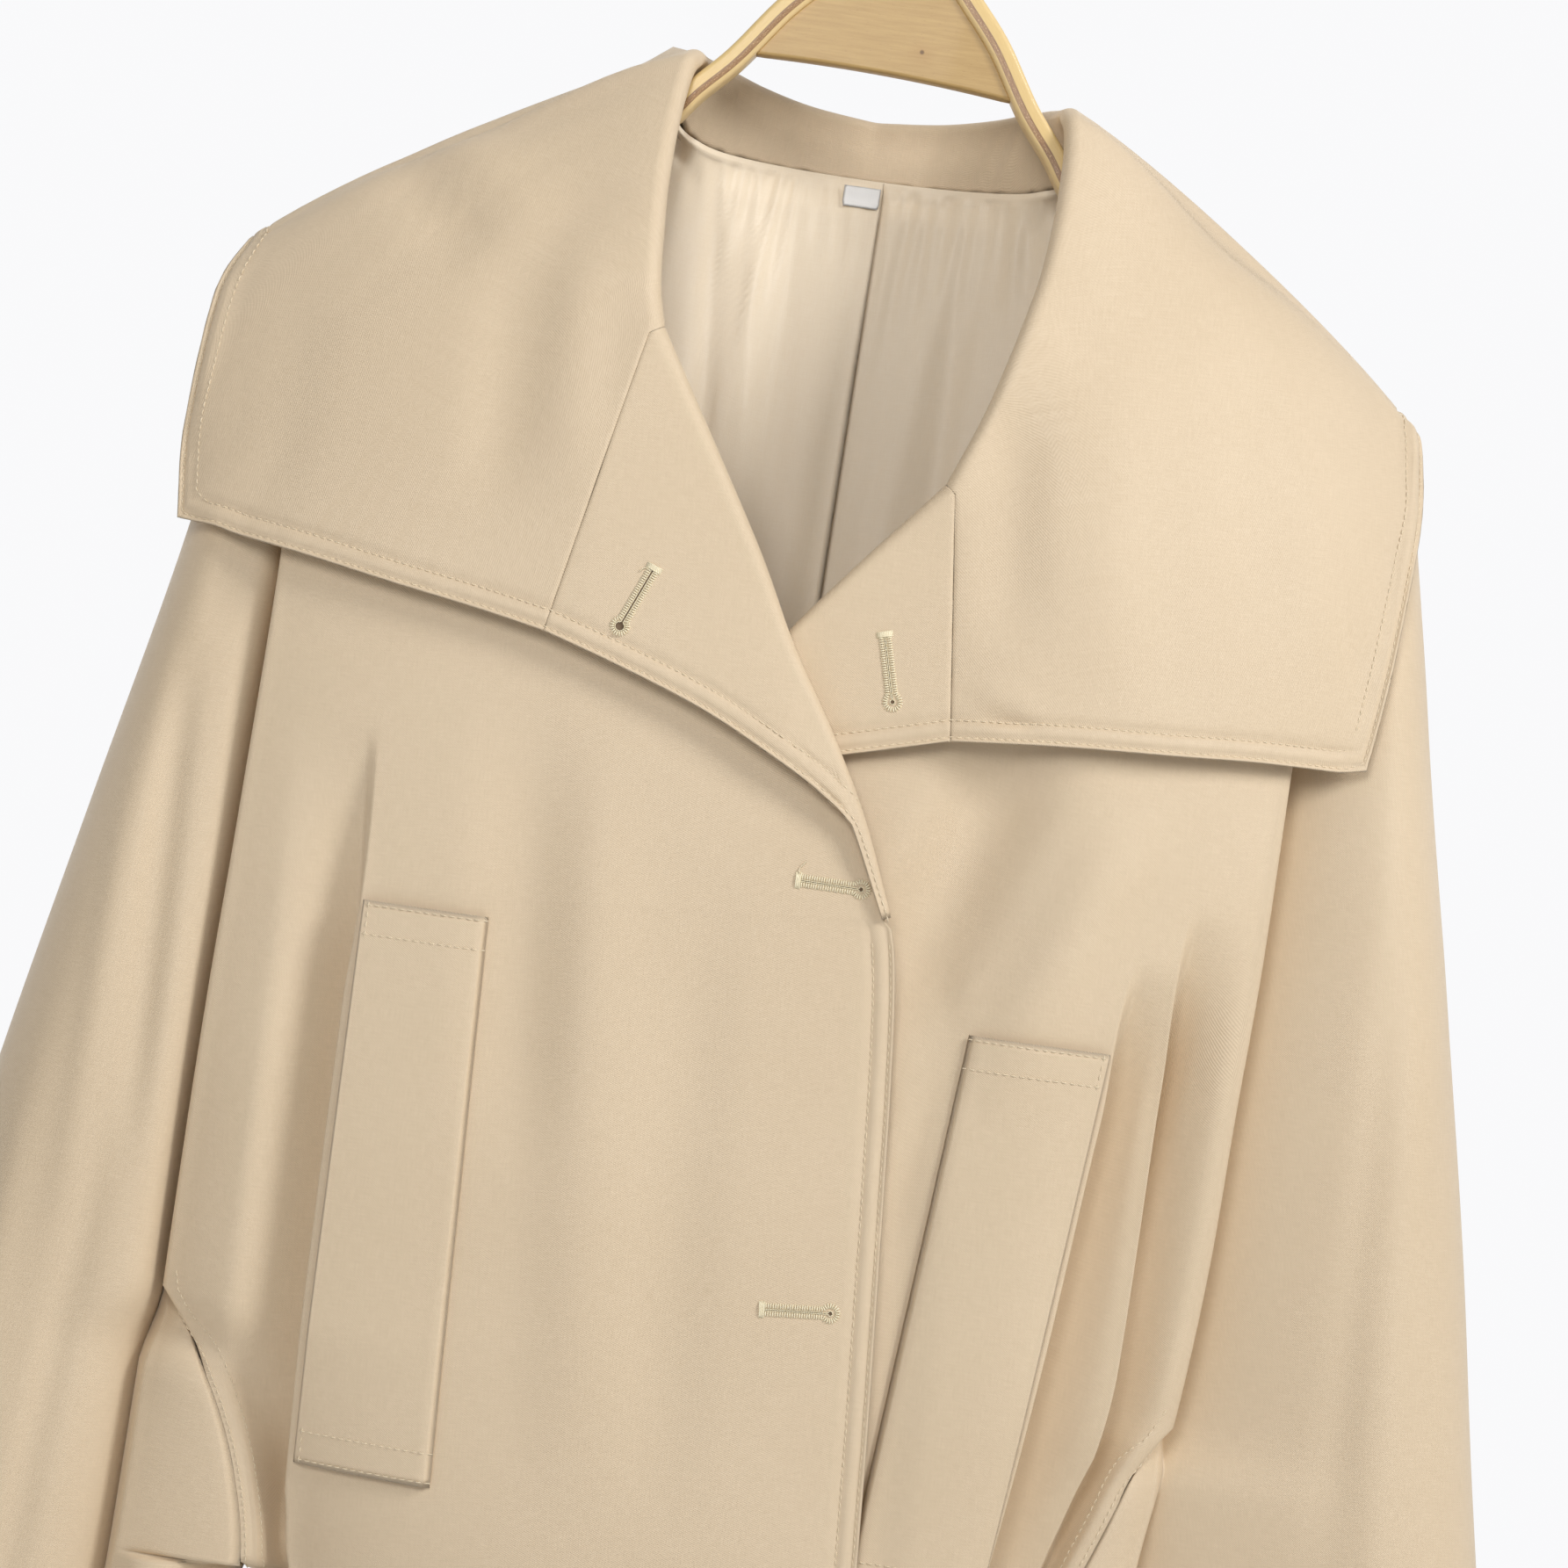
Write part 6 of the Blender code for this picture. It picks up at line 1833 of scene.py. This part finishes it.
def hanger_hook():
    """Bent wire: a shaft out of the plate, then most of a circle."""
    middle = HOOK_TOP - HOOK_RADIUS + HOOK_WIRE / 2
    foot = float(read(HANGER, "top", 0.0)) + GAP
    path = [(x, foot + up) for x, up in HOOK_BEND]
    path += [(HOOK_RADIUS * math.cos(a), middle + HOOK_RADIUS * math.sin(a)) for a in np.radians(HOOK_CIRCLE)]
    path = np.array([upright(x, z) for x, z in path])
    turns = np.linspace(0.0, 2 * math.pi, HOOK_SIDES, endpoint=False)[:, None]
    side = np.array([0.0, 1.0, 0.0])
    rings = [point + HOOK_WIRE / 2 * (side * np.cos(turns) + np.cross(way, side) * np.sin(turns))
             for point, way in zip(path, unit_gradient(path))]
    tube("hanger_wire", rings, hook_steel)


# ------------------------------------------------------------------ finishes
WAVE_PER_METRE = 0.31416  # the wave texture's period at scale 1
PLY = 0.0005              # metres: a ply of the sewing thread
KNOT = (0.0077, -0.004, -0.0941)    # the plate's one knot, in metres from the coat's origin
BROWN_LAYER = (0.68, 0.085)    # middle and half width of the rim's brown layer
LAYERS = (                # the rim's layers from its outer to its inner edge, in linear colours
    (0.0, (0.78, 0.58, 0.27)),
    (0.52, (0.74, 0.53, 0.22)),
    (0.55, (0.16, 0.07, 0.025)),
    (0.59, (0.25, 0.115, 0.045)),
    (0.75, (0.27, 0.125, 0.05)),
    (0.79, (0.20, 0.09, 0.035)),
    (0.82, (0.76, 0.56, 0.27)),
    (1.0, (0.80, 0.60, 0.31)),
)


def new_material(name, colour, roughness, **more):
    """A plain material, its node tree and its shader; more holds the shader's other values."""
    made = bpy.data.materials.new(name)
    made.use_nodes = True
    shader = made.node_tree.nodes["Principled BSDF"]
    values = {"Base_Color": (*colour, 1.0), "Roughness": roughness, **more}
    for place, value in values.items():
        shader.inputs[place.replace("_", " ")].default_value = value
    return made, made.node_tree, shader


def placed(tree, on_cloth, scale=(1.0, 1.0, 1.0), turn=0.0):
    """Where the pattern is read: on the flat cloth in metres, or in the piece's own space."""
    place = add(tree, "ShaderNodeTexCoord", "UV" if on_cloth else "Object", {})
    return add(tree, "ShaderNodeMapping", "Vector", {"Vector": place, "Scale": scale, "Rotation": (0.0, 0.0, turn)})


def noise(tree, place, scale=1.0, detail=2.0, rough=0.5):
    return add(tree, "ShaderNodeTexNoise", "Fac",
               {"Vector": place, "Scale": scale, "Detail": detail, "Roughness": rough})


def stretched(tree, value, low, high, to_low=0.0, to_high=1.0):
    return add(tree, "ShaderNodeMapRange", "Result",
               {"Value": value, "From Min": low, "From Max": high, "To Min": to_low, "To Max": to_high})


def blend(tree, share, *colours):
    """A mix of two colours, or of linked colours."""
    first, second = ((*c, 1.0) if isinstance(c, tuple) else c for c in colours)
    return add(tree, "ShaderNodeMix", "Result", {"Factor": share, "A": first, "B": second}, data_type="RGBA")


def bands(tree, place, width):
    """Stripes of that width in metres."""
    return add(tree, "ShaderNodeTexWave", "Fac", {"Vector": place, "Scale": WAVE_PER_METRE / width, "Distortion": 0.0})


def raised(tree, shader, height, depth, strength=1.0):
    """Bump from a height, with its depth in metres."""
    sockets = {"Height": height, "Distance": depth, "Strength": strength}
    tree.links.new(add(tree, "ShaderNodeBump", "Normal", sockets), shader.inputs["Normal"])


def finished(tree, shader, colour, height, depth, strength=1.0):
    """Gives a shader its colour and its bump."""
    tree.links.new(colour, shader.inputs["Base Color"])
    raised(tree, shader, height, depth, strength)


def twill(name, light, dark, rib, roughness, sheen):
    """Woven cloth: diagonal ribs, single threads that differ a little, and faint cloudiness."""
    made, tree, shader = new_material(
        name, light, roughness, Sheen_Weight=sheen, Sheen_Roughness=0.35, Sheen_Tint=(1.0, 0.93, 0.82, 1.0),
        Specular_IOR_Level=0.38)
    ribs = bands(tree, placed(tree, True, turn=math.radians(-58.0)), rib)
    warp = noise(tree, placed(tree, True, (2600.0, 160.0, 1.0)))
    weft = noise(tree, placed(tree, True, (160.0, 2600.0, 1.0)))
    cloud = noise(tree, placed(tree, False), 9.0, 4.0)
    each_thread = weighed(tree, (warp, 0.5), (weft, 0.5))
    tone = weighed(tree, (stretched(tree, each_thread, 0.36, 0.64), 0.55), (ribs, 0.2),
                   (stretched(tree, cloud, 0.35, 0.65), 0.25))
    height = weighed(tree, (ribs, 0.7), (each_thread, 0.9))
    finished(tree, shader, blend(tree, tone, dark, light), height, rib * 0.16)
    return made


def silk(name, light, dark, roughness):
    """Sewing thread: two plies that catch the light; their lighter and darker stripes are painted highlight and shade.
    """
    made, tree, shader = new_material(name, light, roughness, Sheen_Weight=0.2)
    plies = bands(tree, placed(tree, False, turn=math.radians(35.0)), PLY)
    finished(tree, shader, blend(tree, plies, dark, light), plies, PLY / 10)
    return made


def veneer():
    """Golden beech face with fine grain along the plate, small flecks and one knot."""
    made, tree, shader = new_material("plywood_face", (0.84, 0.62, 0.30), 0.42, Coat_Weight=0.06)
    grain = noise(tree, placed(tree, False, (60.0, 60.0, 900.0)), 1.0, 5.0, 0.6)
    flecks = noise(tree, placed(tree, False, (500.0, 500.0, 2600.0)))
    colour = blend(tree, stretched(tree, grain, 0.3, 0.7), (0.44, 0.275, 0.095), (0.52, 0.34, 0.13))
    colour = blend(tree, stretched(tree, flecks, 0.62, 0.72, 0.0, 0.45), colour, (0.36, 0.20, 0.07))
    from_knot = add(tree, "ShaderNodeVectorMath", "Value", {0: placed(tree, False), 1: KNOT}, operation="DISTANCE")
    colour = blend(tree, stretched(tree, from_knot, 0.006, 0.001, 0.0, 0.3), colour, (0.40, 0.22, 0.07))
    colour = blend(tree, stretched(tree, from_knot, 0.0010, 0.0005), colour, (0.16, 0.08, 0.02))
    finished(tree, shader, colour, grain, 0.0001, 0.5)
    return made


def layered():
    """Bent laminated rim: pale layers with one speckled brown layer near the inner side, read across the rim."""
    made, tree, shader = new_material("plywood_layers", (0.88, 0.72, 0.42), 0.42, Coat_Weight=0.1)
    on_rim = add(tree, "ShaderNodeTexCoord", "UV", {})
    across = stretched(tree, add(tree, "ShaderNodeSeparateXYZ", "Y", {0: on_rim}), 0.0, RIM_WIDE * MM)
    layers = add(tree, "ShaderNodeValToRGB", "Color", {"Fac": across})
    stops = layers.node.color_ramp.elements
    for k, (place, colour) in enumerate(LAYERS):
        stop = stops[k] if k < 2 else stops.new(place)
        stop.position, stop.color = place, (*colour, 1.0)
    grain = noise(tree, placed(tree, True, (260.0, 2400.0, 1.0)), 1.0, 4.0)
    specks = noise(tree, placed(tree, True, (1500.0, 2600.0, 1.0)))
    colour = blend(tree, stretched(tree, grain, 0.35, 0.65, 0.0, 0.3), layers, (0.66, 0.44, 0.18))
    from_brown = maths(tree, "ABSOLUTE", maths(tree, "SUBTRACT", across, BROWN_LAYER[0]))
    speckled = maths(tree, "MULTIPLY", maths(tree, "LESS_THAN", from_brown, BROWN_LAYER[1]),
                     stretched(tree, specks, 0.56, 0.68))
    finished(tree, shader, blend(tree, speckled, colour, (0.62, 0.42, 0.21)), grain, 0.0001, 0.5)
    return made


def brushed(name, colour, roughness):
    """Drawn steel wire with fine lines."""
    made, tree, shader = new_material(name, colour, roughness, Metallic=1.0)
    lines = noise(tree, placed(tree, False, (3000.0, 3000.0, 400.0)))
    tree.links.new(stretched(tree, lines, 0.3, 0.7, roughness - 0.06, roughness + 0.1), shader.inputs["Roughness"])
    raised(tree, shader, lines, 0.00002)
    return made


coat_twill = twill("coat_twill", (0.745, 0.60, 0.425), (0.65, 0.51, 0.345), 0.00056, 0.5, 0.25)
lining_satin = twill("lining_satin", (0.97, 0.84, 0.655), (0.92, 0.775, 0.58), 0.0003, 0.34, 0.12)
label_tape = twill("label_tape", (0.97, 0.97, 0.96), (0.91, 0.91, 0.90), 0.0004, 0.55, 0.1)
seam_thread = silk("seam_thread", (0.84, 0.72, 0.53), (0.68, 0.55, 0.37), 0.5)
buttonhole_silk = silk("buttonhole_silk", (0.93, 0.85, 0.64), (0.78, 0.67, 0.43), 0.42)
# Painted shade: the dark colour of the sheet in the buttonholes' slits and eyes.
slit_shade = new_material("slit_shade", (0.16, 0.105, 0.06), 0.8)[0]
plywood_face = veneer()
plywood_layers = layered()
hook_steel = brushed("hook_steel", (0.66, 0.66, 0.67), 0.28)
threads = thread_tree()


# ------------------------------------------------------------------ making
SIDES = ("right", "left")
fronts = {side: front(side) for side in SIDES}
back_grid = back()
sleeves = {(side, part): sleeve(side, part) for side in SIDES for part in ("front", "back")}
collar_grid = collar()
lapels = {
    "right": lapel("lapel_right", LAPEL_RIGHT, no_offset, 6.0),
    "left": lapel("lapel_left", LAPEL_LEFT, underlap, 3.0),
}
welts = {side: welt(side) for side in SIDES}
for side in SIDES:
    lining(side)
size_label()
belt_grid = belt()
belt_knot()
tails = {
    "right": belt_tail("belt_tail_right", 2.0, -26.0, TAIL_LENGTH, 2.0),
    "left": belt_tail("belt_tail_left", 31.0, 26.0, TAIL_LENGTH - 30.0, 7.5),
}
hanger_rim()
hanger_plate()
hanger_hook()


# ------------------------------------------------------------------ stitches on the pieces
PLACKET_TOP = -291.0      # below the lapel, where the front's own edge is stitched
SHOWN_TOP = -440.0        # below it the armhole's stitches can be seen
WELT_ROWS = 10.0          # between the two rows at each end of a welt
WELT_END = 1.5            # from its end to the first of them
WELT_MARGINS = {"free_x": -2.0, "sewn_x": 1.2}    # where these rows end, from the welt's edges
sewn_on = {}              # cloth piece: what is sewn on it


def sew_on(host, rows):
    """The stitches of one cloth piece as a piece of their own."""
    name = f"stitches_{host}"
    join_meshes(name, [sewn_rows(rows, seam_thread, seed=len(pieces))], [seam_thread])
    sewn_on.setdefault(host, []).append(name)


def front_rows(grid, values):
    """Stitches of a front: its edge, the armhole where that shows, and the hem."""
    edge = grid[:, 0, 2] < PLACKET_TOP
    shown = (grid[:, -1, 2] < SHOWN_TOP) & (grid[:, -1, 2] > UNDERARM + 2)
    rows = rows_at(grid, FACES_FRONT, grid[edge, 0], values, False, edge)
    return rows + rows_at(grid, FACES_FRONT, grid[shown, -1], TWO_ROWS, keep=shown) + hem_rows(grid, FACES_FRONT)


def hem_rows(grid, outward):
    return rows_at(grid.transpose(1, 0, 2), outward, grid[-1], (HEM_ROW,))


def welt_rows(side, cloth_front):
    """Two rows across each end of a welt, joined along its free edge."""
    source, sign = WELTS[side][:2]
    rows = []
    for end_z, way in ((source["z"][0], -1.0), (source["z"][-1], 1.0)):
        near, far = end_z + way * WELT_END, end_z + way * (WELT_END + WELT_ROWS)
        corners = [(sign * (float(read(source, edge, z)) + WELT_MARGINS[edge]), z)
                   for edge, z in (("sewn_x", near), ("free_x", near), ("free_x", far), ("sewn_x", far))]
        for (x0, z0), (x1, z1) in zip(corners, corners[1:]):
            count = max(2, int(math.hypot(x1 - x0, z1 - z0) / 2))
            places = [(x0 + (x1 - x0) * k / count, z0 + (z1 - z0) * k / count) for k in range(count + 1)]
            rows.append(cloth_front.at(places))
    return rows


def belt_rows(grid):
    """Rows round a closed band, two by each of its edges."""
    normals = normals_of(grid, BELT_SIDE, True)
    around = closed(np.arange(grid.shape[1]))
    rows = []
    for edge in (grid[0], grid[-1]):
        distance, _ = beside(grid, closed(edge))
        for value in TWO_ROWS:
            at = closed(np.argmin(np.abs(distance - value), axis=0))
            rows.append((grid[at, around], normals[at, around]))
    return rows


sew_on("collar", rows_at(collar_grid, FACES_BACK, collar_grid[:, -1], TWO_ROWS))
for side in SIDES:
    sew_on(f"lapel_{side}", rows_at(lapels[side], FACES_FRONT, lapels[side][:, -1], TWO_ROWS))
sew_on("front_right", front_rows(fronts["right"], TWO_ROWS))
sew_on("front_left", front_rows(fronts["left"], (ROW_NEAR,)))
sew_on("back", hem_rows(back_grid, FACES_BACK))
for (side, part), grid in sleeves.items():
    sew_on(f"sleeve_{side}_{part}", hem_rows(grid, FACES_FRONT if part == "front" else FACES_BACK))
for side, grid in welts.items():
    sew_on(f"welt_{side}", welt_rows(side, Front(grid)))
sew_on("belt", belt_rows(belt_grid))
for side, grid in tails.items():
    rows = rows_at(grid, FACES_FRONT, grid[:, 0], TWO_ROWS, False) + rows_at(grid, FACES_FRONT, grid[:, -1], TWO_ROWS)
    sew_on(f"belt_tail_{side}", rows)
for name in BUTTONHOLES:
    side = "left" if name == "lapel_left" else "right"
    host, grid = (f"front_{side}", fronts[side]) if "placket" in name else (f"lapel_{side}", lapels[side][:, ROLL:])
    join_meshes(f"buttonhole_{name}", *buttonhole(name, Front(grid)))
    sewn_on.setdefault(host, []).append(f"buttonhole_{name}")


# ------------------------------------------------------------------ each piece on the root body; cloth and hanger pieces hide their parts
NODES = {"hanger_rim": "hanger_body", "hanger_plate": "hanger_body", "hanger_wire": "hanger_hook"}
for name, piece in pieces.items():
    node = name.removesuffix("_cloth")
    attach(piece, "root")
    if not name.startswith(("stitches_", "buttonhole_")):
        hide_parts(NODES.get(name, node))


# ------------------------------------------------------------------ floor, lights and camera
FLOOR_HALF = 2.6          # metres, as all sizes from here on
FLOOR_LEVEL = -1.25
SKY = {"From Min": -0.35, "From Max": 0.75, "To Min": 0.25, "To Max": 0.96}    # brighter behind the coat than before it


def soft_light(name, place, aim, size, power):
    """A round soft lamp that looks at a point."""
    data = bpy.data.lights.new(name, "AREA")
    data.shape, data.size, data.energy = "DISK", size, power
    light = in_scene(name, data)
    turn = (Vector(aim) - Vector(place)).to_track_quat("-Z", "Y").to_matrix().to_4x4()
    light.matrix_world = Matrix.Translation(place) @ turn


floor_mesh = bpy.data.meshes.new("floor")
corners = [(x * FLOOR_HALF, y * FLOOR_HALF, FLOOR_LEVEL) for x, y in ((-1, -1), (1, -1), (1, 1), (-1, 1))]
floor_mesh.from_pydata(corners, [], [(0, 1, 2, 3)])
floor_mesh.materials.append(new_material("floor_paint", (0.85, 0.85, 0.84), 0.9)[0])
floor = in_scene("floor", floor_mesh)

world = bpy.data.worlds.new("studio")
world.use_nodes = True
background = world.node_tree.nodes["Background"]
direction = add(world.node_tree, "ShaderNodeTexCoord", "Generated", {})
depth = add(world.node_tree, "ShaderNodeSeparateXYZ", "Y", {0: direction})
brightness = add(world.node_tree, "ShaderNodeMapRange", "Result", {"Value": depth, **SKY})
world.node_tree.links.new(brightness, background.inputs["Strength"])
background.inputs["Color"].default_value = (0.99, 0.99, 1.0, 1.0)
bpy.context.scene.world = world
bpy.context.scene.view_settings.view_transform = "Standard"

soft_light("key", (1.6, -1.25, 0.85), (0.0, 0.0, -0.35), 0.8, 32.5)
soft_light("front", (-0.25, -1.5, 0.2), (0.0, 0.0, -0.2), 0.6, 9.6)

camera_data = bpy.data.cameras.new("camera")
camera_data.sensor_width = 36.0
camera_data.lens = 100.8
camera = in_scene("camera", camera_data)
camera.matrix_world = (
    Matrix.Translation((-0.00457, -1.55, -0.356))
    @ Matrix.Rotation(math.radians(-8.0), 4, "Y")
    @ Matrix.Rotation(math.radians(90.0), 4, "X")
)
bpy.context.scene.camera = camera
